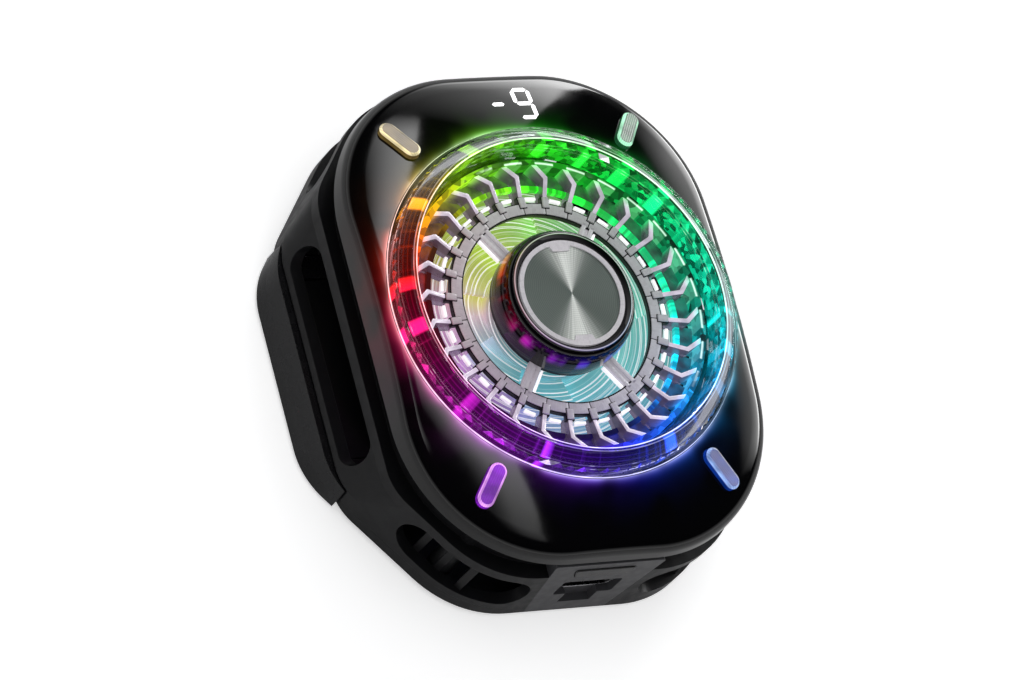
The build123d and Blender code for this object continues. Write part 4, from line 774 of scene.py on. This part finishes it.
def lensMesh():
    s = ringLens
    wall, chamfer, footZ = s["wall"], s["chamfer"], ringBaseZ - s["footDrop"]
    inner = rimRadius - s["innerLean"] + chamfer
    outerTop = (rimRadius + wall, ringTopZ)
    shoulder = (ringRadius - s["shoulderInset"], ringTopZ - s["shoulderDrop"])
    # The cap is the quarter of an ellipse that leaves the flat rim level and meets the shoulder
    cap = [(outerTop[0] + (shoulder[0] - outerTop[0]) * sin(t), shoulder[1] + (outerTop[1] - shoulder[1]) * cos(t))
           for t in quarterTurn(s["capSteps"])]
    profile = [(ringRadius, s["foot"]), (ringRadius, ringBaseZ)] + cap[::-1]
    profile += [(rimRadius + chamfer, ringTopZ), (rimRadius, ringTopZ - chamfer), (inner, footZ),
                (inner, s["foot"]), (inner + wall - chamfer, s["foot"]), (inner + wall - chamfer, footZ),
                (rimRadius + wall * 0.9, ringTopZ - wall), (shoulder[0] - wall, shoulder[1]),
                (ringRadius - wall, ringBaseZ), (ringRadius - wall, s["foot"])]
    return latheMesh("ringLens", profile, 360, 40)


def guideMesh():
    g, knee, crest = guide, ringBaseZ + guide["kneeRise"], ringTopZ - guide["crestDrop"]
    return latheMesh("lightGuide", [(g["inner"], g["foot"]), (g["outer"], g["foot"]), (g["outer"], knee),
                                    (g["crest"], crest), (g["inner"], crest)], 240)


def prismShape(name, radius, depth, low, high, outward, pointUp):  # a low pyramid on a triangle
    half = pi * radius / prisms["count"]
    base, tipZ = (low, high) if pointUp else (high, low)
    corners = [(radius, -half, base), (radius, half, base), (radius, 0, tipZ),
               (radius + depth * outward, 0, base + (tipZ - base) * prisms["tip"])]
    return sheetMesh(name, corners, [(0, 1, 3), (1, 2, 3), (2, 0, 3), (0, 2, 1)], sharpAngle=5)


lensPiece = addPiece("ringLens", lensMesh(), lensMaterial(), "root", "ring_lens")
guidePiece = addPiece("lightGuide", guideMesh(), guideMaterial(), "root", "prism_ring")
outerLow, innerLow = ringBaseZ + 0.1, ringTopZ - prisms["innerDrop"]
prismRows = {  # radius, depth, low, outward, point up, start in degrees, least and most light
    "prismsUp": (guide["outer"], prisms["depth"], outerLow, 1, True, 0, 0.22, 1.5),
    "prismsDown": (guide["outer"], prisms["depth"], outerLow, 1, False, 2, 0.05, 0.35),
    "innerPrismsUp": (guide["inner"], prisms["innerDepth"], innerLow, -1, True, 0, 0.3, 1.6),
    "innerPrismsDown": (guide["inner"], prisms["innerDepth"], innerLow, -1, False, 2, 0.1, 0.9),
}
for name, (radius, depth, low, outward, pointUp, start, least, most) in prismRows.items():
    shape = prismShape(name, radius, depth, low, low + prisms["rise"], outward, pointUp)
    finish = prismMaterial(name + "Acrylic", 0.5 if pointUp else 0.0, least, most)
    piece = addPiece(name, copiesRound(name, shape, prisms["count"], start, finish, 5), None, "root")
print("light ring made")


# Grille: kinked vanes, inner ring in blocks and segments, spokes

grille = {"count": 28, "thickness": 0.75, "inner": 16.9, "kink": 20.6, "outer": 22.7, "kinkShift": 0.25,
          "bend": 5.0, "low": grilleLow.z + 0.1, "innerTop": 21.4, "rimTop": grilleHigh.z, "rim": 0.8,
          "edge": 0.16, "start": 55.24, "floor": 0.5}
innerRing = {"inner": 15.0, "outer": 16.6, "top": 21.5, "thickness": 0.9, "block": 1.0, "blockRise": 0.3,
             "seam": 0.08, "bevel": 0.07, "blockBevel": 0.08, "seat": 0.16, "seatRise": 0.04}
bayPanel = {"outer": 22.35, "thickness": 0.4, "seam": 0.012, "bevel": 0.05}
bayEdge = {"inner": 17.5, "outer": 17.95, "low": 20.2, "high": 20.8, "seam": 0.055, "bevel": 0.06}
spoke = {"width": 1.9, "from": 10.2, "to": 15.4, "groove": 0.6, "grooveDepth": 0.3, "angle": 55.24,
         "bevel": 0.06, "edgeGap": 0.22, "edgeWidth": 0.33, "edgeInset": 0.4, "edgeDrop": 0.3, "edgeHeight": 0.6}
midRing = {"radius": 20.0, "width": 0.7, "height": 0.9}
# Painted light on the grille's rim: glowing cells, and pale highlight bars in the bays
rimPaintedLight = {"cells": 0.8, "bayShift": 0.2, "barRadius": 22.55, "barHalf": 0.34, "white": 0.8}
baySeat, ringTop = grille["low"] + grille["floor"], innerRing["top"]
seat = ringTop - innerRing["thickness"]


def vaneMesh():
    g = grille
    bend = radians(g["bend"])
    spine = [Vector((g["inner"], 0)), Vector((g["kink"], -g["kinkShift"])),
             Vector((g["outer"] * cos(bend), g["outer"] * sin(bend)))]
    sides = [(spine[1] - spine[0]).normalized(), (spine[2] - spine[1]).normalized()]
    offsets = [Vector((-sides[0].y, sides[0].x)), None, Vector((-sides[1].y, sides[1].x))]
    offsets[1] = (offsets[0] + offsets[2]).normalized() / cos(sides[0].angle(sides[1]) / 2)
    half = g["thickness"] / 2
    outline = [p + o * half for p, o in zip(spine, offsets)]
    outline += [p - o * half for p, o in reversed(list(zip(spine, offsets)))]
    slope = (g["rimTop"] - g["innerTop"]) / (g["outer"] - g["inner"])
    highs = [g["innerTop"] + slope * (p.length - g["inner"]) - 0.05 for p in outline]
    return barMesh("vane", [tuple(p) for p in outline], g["low"], highs, g["edge"])


def arcBar(name, inner, outer, low, high, seam, steps, bevel, ends=(1.0, 1.0)):  # fills one bay, less the seam
    middle = pi / grille["count"]
    half = middle - seam
    angles = [middle - half * ends[0] + sum(ends) * half * i / steps for i in range(steps + 1)]
    outline = [(outer * cos(a), outer * sin(a)) for a in angles]
    outline += [(inner * cos(a), inner * sin(a)) for a in reversed(angles)]
    return barMesh(name, outline, low, [high] * len(outline), bevel)


def segmentMesh():  # one arc of the inner ring, between two blocks
    r = innerRing
    return arcBar("ringSegment", r["inner"], r["outer"], seat, ringTop, r["seam"] / r["outer"], 5, r["bevel"])


def panelMesh():  # the floor of a bay, from the mid ring to the rim
    p = bayPanel
    return arcBar("bayPanel", midRing["radius"], p["outer"], baySeat, baySeat + p["thickness"], p["seam"], 4,
                  p["bevel"])


def edgeBarMesh():  # a plate that runs along the inner ring in each bay, drawn bright as a painted highlight
    e = bayEdge
    return arcBar("edgeBar", e["inner"], e["outer"], e["low"], e["high"], e["seam"], 4, e["bevel"], (0.9, 0.8))


def blockMesh(margin, rise):
    r = innerRing
    x0, x1 = r["outer"] - r["block"] * 0.6 - margin, r["outer"] + r["block"] + margin
    half = r["block"] / 2 + margin
    outline = [(x0, -half), (x1, -half), (x1, half), (x0, half)]
    return barMesh("ringBlock", outline, seat, [ringTop + rise] * 4, r["blockBevel"])


def spokeMesh():  # a bar with a groove along its top
    s = spoke
    half, groove, floor = s["width"] / 2, s["groove"] / 2, ringTop - s["grooveDepth"]
    section = [(-half, seat), (half, seat), (half, ringTop), (groove, ringTop), (groove, floor), (-groove, floor),
               (-groove, ringTop), (-half, ringTop)]
    corners = [(x, y, z) for x in (s["from"], s["to"]) for y, z in section]
    return sheetMesh("spoke", corners, prismFaces(len(section)), s["bevel"])


def spokeEdgeMesh(side):  # a thin bar beside a spoke, drawn bright as a painted highlight
    s, top = spoke, ringTop - spoke["edgeDrop"]
    near = s["width"] / 2 + s["edgeGap"]
    y0, y1 = side * near, side * (near + s["edgeWidth"])
    x0, x1 = s["from"] + s["edgeInset"], s["to"] - s["edgeInset"]
    outline = [(x0, y0), (x1, y0), (x1, y1), (x0, y1)]
    return barMesh("spokeEdge", outline, top - s["edgeHeight"], [top] * 4, s["bevel"])


def farSide(add, near, far):  # 0 towards -X -Y, 1 towards +X +Y, between two places in millimetres; it puts painted light on the far side
    along = add("VectorMath", add("TexCoord", out="Object"), (0.81 / mm, 0.586 / mm, 0), operation="DOT_PRODUCT")
    return add("MapRange", along, near, far, **smooth)


def smokeMaterial():
    # Smoked translucent vane with painted light: a paler colour and more glow on its top faces, as if lit from
    # above, a purple-grey see-through face, and a painted glow in the ring's colour at its outer end
    material, shader, add = newMaterial("smokedVane", IOR=1.5)
    roughen(add, shader, 0.22, 0.05, 0.8)
    upward = add("SeparateXYZ", add("TexCoord", out="Normal"), out="Z")
    top = add("MapRange", upward, 0.3, 0.75, **smooth)
    near = add("MapRange", objectRadius(add), 21.0, 22.8, **smooth)
    # painted light: top faces paler than the sides, and the outer end tinted by the ring's light
    face = add("Mix", top, hexColor("#6b5d6f"), hexColor("#c9becf"), **colorMix)
    color = add("Mix", near, face, paletteColor(add), **colorMix)
    waves = add("MapRange", grain(add, 0.45, 2.0), 0.35, 0.65, 0.6, 1.3, **smooth)
    level = add("Math", top, 0.12, 0.33, **timesPlus)
    level = add("Math", near, 0.75, level, **timesPlus)
    setInputs(shader, Base_Color=face, Emission_Color=color,
              Emission_Strength=add("Math", level, waves, **times))
    relief(add, shader, grain(add, 1.5), 0.006)
    clear = add("BsdfTransparent", hexColor("#d8cede"))
    through = add("MapRange", top, 0.0, 1.0, 0.3, 0.0, **smooth)
    showSurface(material, add("MixShader", through, shader.outputs[0], clear))
    return material


def panelMaterial():
    # Smoked floor of the bays: dark and half clear, with a faint painted glow in the ring's colours for the ring's
    # light on it
    material, shader, add = newMaterial("smokedPanel", Base_Color=hexColor("#54495a"), IOR=1.5)
    roughen(add, shader, 0.15, 0.05, 0.8)
    level = add("MapRange", grain(add, 0.5, 2.0), 0.3, 0.7, 0.06, 0.3, **smooth)
    setInputs(shader, Emission_Color=paletteColor(add), Emission_Strength=level)
    relief(add, shader, grain(add, 1.0), 0.004)
    clear = add("BsdfTransparent", hexColor("#b8b0be"))
    through = add("MapRange", grain(add, 0.3, 1.0), 0.3, 0.7, 0.2, 0.4, **smooth)
    showSurface(material, add("MixShader", through, shader.outputs[0], clear))
    return material


def rimMaterial():
    # Rim round the vanes with painted light: saturated glowing patches near the eye's side of the ring, pale
    # painted highlight bars on the far side
    material, shader, add = newMaterial("litRim", Base_Color=hexColor("#17131a"), IOR=1.5)
    roughen(add, shader, 0.16, 0.05, 0.8)
    far = farSide(add, 2.0, 12.0)
    tone, edge = crystals(add, rimPaintedLight["cells"])
    bay = add("MapRange", fromMiddle(add, grille["count"], rimPaintedLight["bayShift"]), 0.27, 0.31, 1.0, 0.0, **smooth)
    bar = lineAt(add, objectRadius(add), rimPaintedLight["barRadius"], rimPaintedLight["barHalf"])
    white = add("Math", far, add("Math", bay, bar, **times), **times)
    color = add("Mix", add("Math", white, rimPaintedLight["white"], **times), paletteColor(add),
                hexColor("#f2fff8"), **colorMix)
    near = add("Math", tone, 0.35, operation="ADD")
    distant = add("Math", tone, 0.5, white, **timesPlus)
    setInputs(shader, Emission_Color=color, Emission_Strength=add("Mix", far, near, distant))
    relief(add, shader, edge, 0.02)
    return material


def satinGrey(name, code, ringLightShare, glow):
    # Satin grey moulding of the inner ring and spokes: brushed along the radius, with painted light: a faint glow
    # mixed from its grey and the ring's colour
    material, shader, add = newMaterial(name, Base_Color=hexColor(code), IOR=1.5)
    roughen(add, shader, 0.3, 0.06, 1.2)
    brushed = angularNoise(add, 160.0, 2.0)
    # painted light: the glow's colour, part grey and part ring colour
    color = add("Mix", ringLightShare, hexColor(code), paletteColor(add), **colorMix)
    level = add("MapRange", brushed, 0.3, 0.7, glow * 0.75, glow * 1.25, **smooth)
    setInputs(shader, Emission_Color=color, Emission_Strength=level)
    relief(add, shader, brushed, 0.02)
    return material


def midRingMaterial():
    # Ring under the vanes with painted light: saturated glowing blocks on the far side, nearly dark on the near
    # side
    material, shader, add = newMaterial("litMidRing", Base_Color=hexColor("#1a171b"), IOR=1.5)
    roughen(add, shader, 0.2, 0.05, 0.8)
    blocks = add("MapRange", angularNoise(add, 14.0, 2.0), 0.4, 0.6, 0.35, 1.1, **smooth)
    lit = add("Math", farSide(add, -6.0, 10.0), blocks, **times)
    level = add("Math", lit, 1.5, 0.05, **timesPlus)
    setInputs(shader, Emission_Color=paletteColor(add), Emission_Strength=level)
    relief(add, shader, grain(add, 1.0), 0.004)
    return material


ringGrey = satinGrey("ringGrey", "#b3aeb5", 0.12, 0.22)
spokeGrey = satinGrey("spokeGrey", "#bcb8be", 0.03, 0.25)
seamBlack = mouldedPlastic("seamBlack", "#141216", 0.35, 3.0, 0.002, 0.3)  # dark joint that parts the greys
# painted highlight: a white glow for the grille's edge plates, which are no lamps
paintedHighlightEdge = glowMaterial("paintedHighlightEdge", "#f4f0f6", 0.8, 0.6)


def grilleCopies(name, shape, material, *replaced):
    mesh = copiesRound(name, shape, grille["count"], grille["start"], material)
    return addPiece(name, mesh, None, "root", *replaced)


def squareRing(name, inner, outer, low, high, material):
    profile = [(inner, low), (outer, low), (outer, high), (inner, high)]
    return addPiece(name, latheMesh(name, profile, 224), material, "root")


seatEnd = spoke["from"] + 0.1
seatProfile = [(0, seat), (seatEnd, seat), (seatEnd, ringTop - 0.05), (0, ringTop - 0.05)]
grillePieces = [
    grilleCopies("grilleVanes", vaneMesh(), smokeMaterial(), "fan_grille"),
    grilleCopies("innerRingSegments", segmentMesh(), ringGrey),
    grilleCopies("innerRingBlocks", blockMesh(0, innerRing["blockRise"]), ringGrey),
    grilleCopies("innerRingBlockSeats", blockMesh(innerRing["seat"], innerRing["seatRise"]), seamBlack),
    grilleCopies("bayPanels", panelMesh(), panelMaterial()),
    grilleCopies("bayEdges", edgeBarMesh(), paintedHighlightEdge),
    squareRing("innerRingCarrier", innerRing["inner"] - 0.22, innerRing["outer"] + 0.18, seat, ringTop - 0.12,
               seamBlack),
    squareRing("grilleRim", grilleHigh.x - grille["rim"], grilleHigh.x, grilleLow.z, grille["rimTop"],
               rimMaterial()),
    squareRing("grilleMidRing", midRing["radius"] - midRing["width"], midRing["radius"], baySeat,
               baySeat + midRing["height"], midRingMaterial()),
    addPiece("grilleHubSeat", latheMesh("grilleHubSeat", seatProfile, 128), seamBlack, "root"),
]
tilt = radians(spoke["angle"])
for (sx, sy), side in zip(quadrants, (-1, 1, 1, -1)):
    word = ("Right" if sx > 0 else "Left") + ("Top" if sy > 0 else "Bottom")
    turn = Matrix.Rotation(atan2(sy * sin(tilt), sx * cos(tilt)), 4, "Z")
    for name, mesh, material in (("grilleSpoke" + word, spokeMesh(), spokeGrey),
                                 ("spokeEdge" + word, spokeEdgeMesh(side), paintedHighlightEdge)):
        mesh.transform(turn)
        grillePieces.append(addPiece(name, mesh, material, "root"))
print("grille made")


# Hub: gloss cap, light trim ring and spun disc

hub = {"radius": 10.6, "rim": 9.4, "lip": 0.4, "floorDrop": 0.9, "belt": 4.0, "foot": 21.5, "wall": 1.1,
       "trim": 8.3, "sideSteps": 20}
# turn, sheen, dark and light set the disc's painted sheen: its direction, its narrowness, and its unlit and
# highlight colours
disc = {"turn": -86, "groovePitch": 0.3, "sheen": 14.0, "dark": "#5a625e", "light": "#dfe3df"}


def hubMesh():
    h, top, floor = hub, ringTopZ, ringTopZ - hub["floorDrop"]
    belt = top - h["belt"]
    side = [(h["rim"] + (h["radius"] - h["rim"]) * sin(t), belt + (top - 0.25 - belt) * cos(t))
            for t in quarterTurn(h["sideSteps"])]
    profile = [(0, floor), (h["trim"] + 0.1, floor), (h["rim"] - h["lip"], top - 0.12)]
    profile += arcPoints((h["rim"] - 0.25, top - 0.15), 0.15, 110, 20, 5) + side
    profile += [(h["radius"] - 0.1, h["foot"]), (h["radius"] - h["wall"], h["foot"]),
                (h["rim"] - h["wall"], floor - h["wall"]), (0, floor - h["wall"])]
    return latheMesh("hubCap", profile, sharpAngle=32)


def hubGloss():
    # Gloss black cap: painted reflections of the lit ring as soft coloured patches low on its side, and a painted
    # highlight on its lip
    material, shader, add = newMaterial("hubGlossBlack", Base_Color=hexColor("#060507"), IOR=1.5,
                                        Specular_IOR_Level=0.6)
    roughen(add, shader, 0.09, 0.03, 0.3)
    height, radius = objectHeight(add), objectRadius(add)
    # painted reflection of the ring on the side, and a painted highlight on the lip
    onSide = add("MapRange", radius, 9.6, 9.9, **smooth)
    low = add("Math", lineAt(add, height, ringTopZ - 2.4, 1.5), onSide, **times)
    patches = add("MapRange", angularNoise(add, 3.2, 1.0), 0.46, 0.62, **smooth)
    onTop = add("MapRange", height, ringTopZ - 0.25, ringTopZ - 0.1, **smooth)
    lip = add("Math", lineAt(add, radius, hub["rim"] - 0.2, 0.14), onTop, **times)
    color = add("Mix", lip, paletteColor(add), hexColor("#e8e6ea"), **colorMix)
    paintedReflection = add("Math", add("Math", low, patches, **times), 0.5, **times)
    level = add("Math", lip, 0.75, paintedReflection, **timesPlus)
    setInputs(shader, Emission_Color=color, Emission_Strength=level)
    relief(add, shader, grain(add, 0.5), 0.003)
    return material


def spunSteel():
    # Spun disc: fine rings, and two fans of painted sheen that cross the middle, drawn into its colour and glow
    # where turned metal catches the light.
    # Real turning marks are finer, so they are drawn 0.3 mm apart.
    material, shader, add = newMaterial("spunSteel", Metallic=1.0)
    angle = add("Math", angleShare(add, disc["turn"]), 2 * pi, **times)
    paintedSheenLobe = add("Math", add("Math", angle, operation="COSINE"), operation="ABSOLUTE")
    sheen = add("Math", paintedSheenLobe, disc["sheen"], operation="POWER")
    rays = add("MapRange", angularNoise(add, 22.0, 3.0), 0.35, 0.65, 0.75, 1.15, **smooth)
    color = add("Mix", add("Math", sheen, rays, **times), hexColor(disc["dark"]),
                hexColor(disc["light"]), **colorMix)
    phase = add("Math", objectRadius(add), 2 * pi / disc["groovePitch"], **times)
    rings = add("Math", phase, operation="SINE")
    setInputs(shader, Base_Color=color, Emission_Color=color,
              Emission_Strength=add("MapRange", rings, -1.0, 1.0, 0.2, 0.42, **smooth),
              Roughness=add("MapRange", rings, -1.0, 1.0, 0.3, 0.42, **smooth))
    relief(add, shader, rings, 0.006)
    return material


hubPiece = addPiece("hubCap", hubMesh(), hubGloss(), "root", "hub_cap")
dress(nodes["hub_disc"].data, spunSteel())
# the trim ring gets a painted grey glow, so it reads light
dress(nodes["hub_trim"].data, satinGrey("satinTrim", "#bcb9be", 0.0, 0.28))
print("hub made")


# Rotor: cup and broad blades that turn under the grille

rotor = {"blades": 9, "cup": 9.1, "tip": rotorHigh.x - 0.1, "low": rotorLow.z, "high": rotorHigh.z,
         "stations": 8, "across": 10, "thickness": 0.6, "sweep": 14.0, "climb": 2.3, "crown": 0.25, "span": 42.5,
         "under": 8.0, "start": 10.0, "root": 0.3, "drop": 0.3, "cupEdge": 0.4, "cupWall": 0.8, "cupRise": 0.5}
# Painted ring light on the blades: a pastel tint for each direction round the axis, for the outer and the inner
# parts
bladeRingLightPalette = {20: "#8fe0cf", 70: "#a2e486", 110: "#c6e060", 145: "#d2cc66", 162: "#e0b0cc", 190: "#dba4dc",
                225: "#c79ae6", 255: "#a4bdf0", 290: "#7fd0e6", 330: "#86dcd8"}
bladeInnerRingLight = {20: "#9be6c8", 70: "#c4ec8c", 110: "#cfe46c", 145: "#dadc7c", 170: "#f0d8e4", 200: "#b8dce6",
              235: "#7fd6dc", 260: "#78d2dc", 300: "#84dce0", 335: "#8ee4dc"}


def bladeMesh():  # each station climbs over its arc, and its low edge runs on under the next blade
    r = rotor
    stations, across = r["stations"], r["across"]
    bm = bmesh.new()
    layers = []
    for shift in (0.0, -r["thickness"]):
        grid = []
        for i in range(stations + 1):
            t = i / stations
            radius = r["cup"] - r["root"] + (r["tip"] - r["cup"] + r["root"]) * t
            row = []
            for j in range(across + 1):
                u = j / across
                turn = r["span"] * (u - 0.5) - r["under"] * (1 - u)
                rise = max(0.0, turn / r["span"] + 0.5)
                z = r["high"] - r["drop"] - r["climb"] * (1 - rise) + r["crown"] * sin(pi * rise) + shift
                angle = radians(r["sweep"] * t + turn)
                row.append(bm.verts.new(Vector((radius * cos(angle), radius * sin(angle), z)) * mm))
            grid.append(row)
        layers.append(grid)
    top, bottom = layers
    for i in range(stations):
        for j in range(across):
            bm.faces.new((top[i][j], top[i + 1][j], top[i + 1][j + 1], top[i][j + 1]))
            bm.faces.new((bottom[i][j], bottom[i][j + 1], bottom[i + 1][j + 1], bottom[i + 1][j]))
    edge = [(i, 0) for i in range(stations + 1)] + [(stations, j) for j in range(1, across + 1)]
    edge += [(i, across) for i in range(stations - 1, -1, -1)] + [(0, j) for j in range(across - 1, 0, -1)]
    for (i, j), (m, n) in zip(edge, edge[1:] + edge[:1]):
        bm.faces.new((top[i][j], top[m][n], bottom[m][n], bottom[i][j]))
    return finishMesh(bm, "blade", 40)


def cupMesh():
    radius, top, foot, wall = rotor["cup"], rotor["high"], rotor["low"] + rotor["cupRise"], rotor["cupWall"]
    profile = [(0, top), (radius - rotor["cupEdge"], top), (radius, top - rotor["cupEdge"]), (radius, foot),
               (radius - wall, foot), (radius - wall, top - wall), (0, top - wall)]
    return latheMesh("rotorCup", profile, 128)


def bladeMaterial():
    # Frosted fan blade: pale, with painted light: a pastel glow in the ring's colours round the axis, and bright
    # circular streaks as painted highlights
    material, shader, add = newMaterial("frostedBlade", IOR=1.45)
    roughen(add, shader, 0.38, 0.06, 0.6)
    radius = objectRadius(add)
    pale = add("Mix", add("MapRange", radius, 11.5, 15.0, **smooth), paletteColor(add, bladeInnerRingLight),
               paletteColor(add, bladeRingLightPalette), **colorMix)
    rings = add("TexNoise", W=add("Math", radius, 2.2, **times), Scale=1.0, Detail=3.0,
                Roughness=0.7, noise_dimensions="1D")
    streak = add("MapRange", rings, 0.5, 0.68, **smooth)
    color = add("Mix", streak, pale, hexColor("#ffffff"), **colorMix)
    level = add("Math", streak, 0.4, 0.26, **timesPlus)
    setInputs(shader, Base_Color=color, Emission_Color=color, Emission_Strength=level)
    relief(add, shader, rings, 0.05)
    return material


frosted = bladeMaterial()
bladeCopies = copiesRound("rotorBlades", bladeMesh(), rotor["blades"], rotor["start"], frosted, 40)
blades = addPiece("rotorBlades", bladeCopies, None, "fan", "rotor")
cup = addPiece("rotorCup", cupMesh(), frosted, "fan")
print("rotor made")


# Light capsules and readout

capsuleTints = {"top_right": ("#2a6e44", "#a8f5c8"), "top_left": ("#8c7442", "#f6e6b4"),
                "bottom_left": ("#b030ff", "#f4a8ff"), "bottom_right": ("#1c50d0", "#a4c4ff")}
capsuleGlow = {"linePitch": 0.32, "bevel": 0.55, "top": 0.4, "coat": 0.8, "depth": 0.25}


def capsuleMesh(name, place):
    c = capsule
    outline = slotPoints(c["length"], c["width"])
    inset = slotPoints(c["length"] - 2 * c["bevel"], c["width"] - 2 * c["bevel"])
    layers = [(outline, -c["foot"]), (outline, c["rise"] - c["bevel"]), (inset, c["rise"])]
    return stackMesh(name, layers, place, 25)


def capsuleMaterial(name, deep, bright, place):
    # Coloured clear bar: deep colour on top with fine lengthwise lines, bright where the bevel turns
    body = [c * capsuleGlow["depth"] for c in hexColor(deep)[:3]] + [1]
    material, shader, add = newMaterial(name, Base_Color=body, IOR=1.5, Coat_Weight=capsuleGlow["coat"])
    roughen(add, shader, 0.14, 0.04, 0.8)
    turn = place.to_3x3()
    normal, position = add("NewGeometry", out="Normal"), add("TexCoord", out="Object")
    upward = add("VectorMath", normal, turn @ Vector((0, 0, 1)), operation="DOT_PRODUCT")
    across = add("VectorMath", position, turn @ Vector((0, 1, 0)), operation="DOT_PRODUCT")
    bevel = lineAt(add, upward, 0.7, 0.28)
    phase = add("Math", across, 2 * pi / (capsuleGlow["linePitch"] * mm), **times)
    lines = add("Math", phase, operation="SINE")
    level = add("Math", bevel, capsuleGlow["bevel"], capsuleGlow["top"], **timesPlus)
    cloud = add("MapRange", grain(add, 0.3, 1.0), 0.35, 0.65, 0.45, 1.6, **smooth)
    cloudy = add("Math", level, cloud, **times)
    lined = add("MapRange", lines, -1.0, 1.0, 0.75, 1.0, **smooth)
    setInputs(shader, Emission_Color=add("Mix", bevel, hexColor(deep), hexColor(bright), **colorMix),
              Emission_Strength=add("Math", cloudy, lined, **times))
    relief(add, shader, lines, 0.01)
    return material


for (sx, sy), word in zip(quadrants, capsuleTints):
    place = capsuleFrame(sx, sy)
    material = capsuleMaterial("capsule_" + word, *capsuleTints[word], place)
    piece = addPiece("lightCapsule_" + word, capsuleMesh("lightCapsule_" + word, place), material, "root",
                     "capsule_" + word)

for name, material in (("display_segments", glowMaterial("whiteDigits", "#ffffff", 1.6, 0.6)),
                       ("ring_leds", glowMaterial("diodeWhite", "#ffffff", 1.0, 0.6)),
                       ("capsule_leds", glowMaterial("capsuleDiodeWhite", "#ffffff", 1.0, 0.6))):
    dress(nodes[name].data, material)
print("capsules and readout made")


low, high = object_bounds()
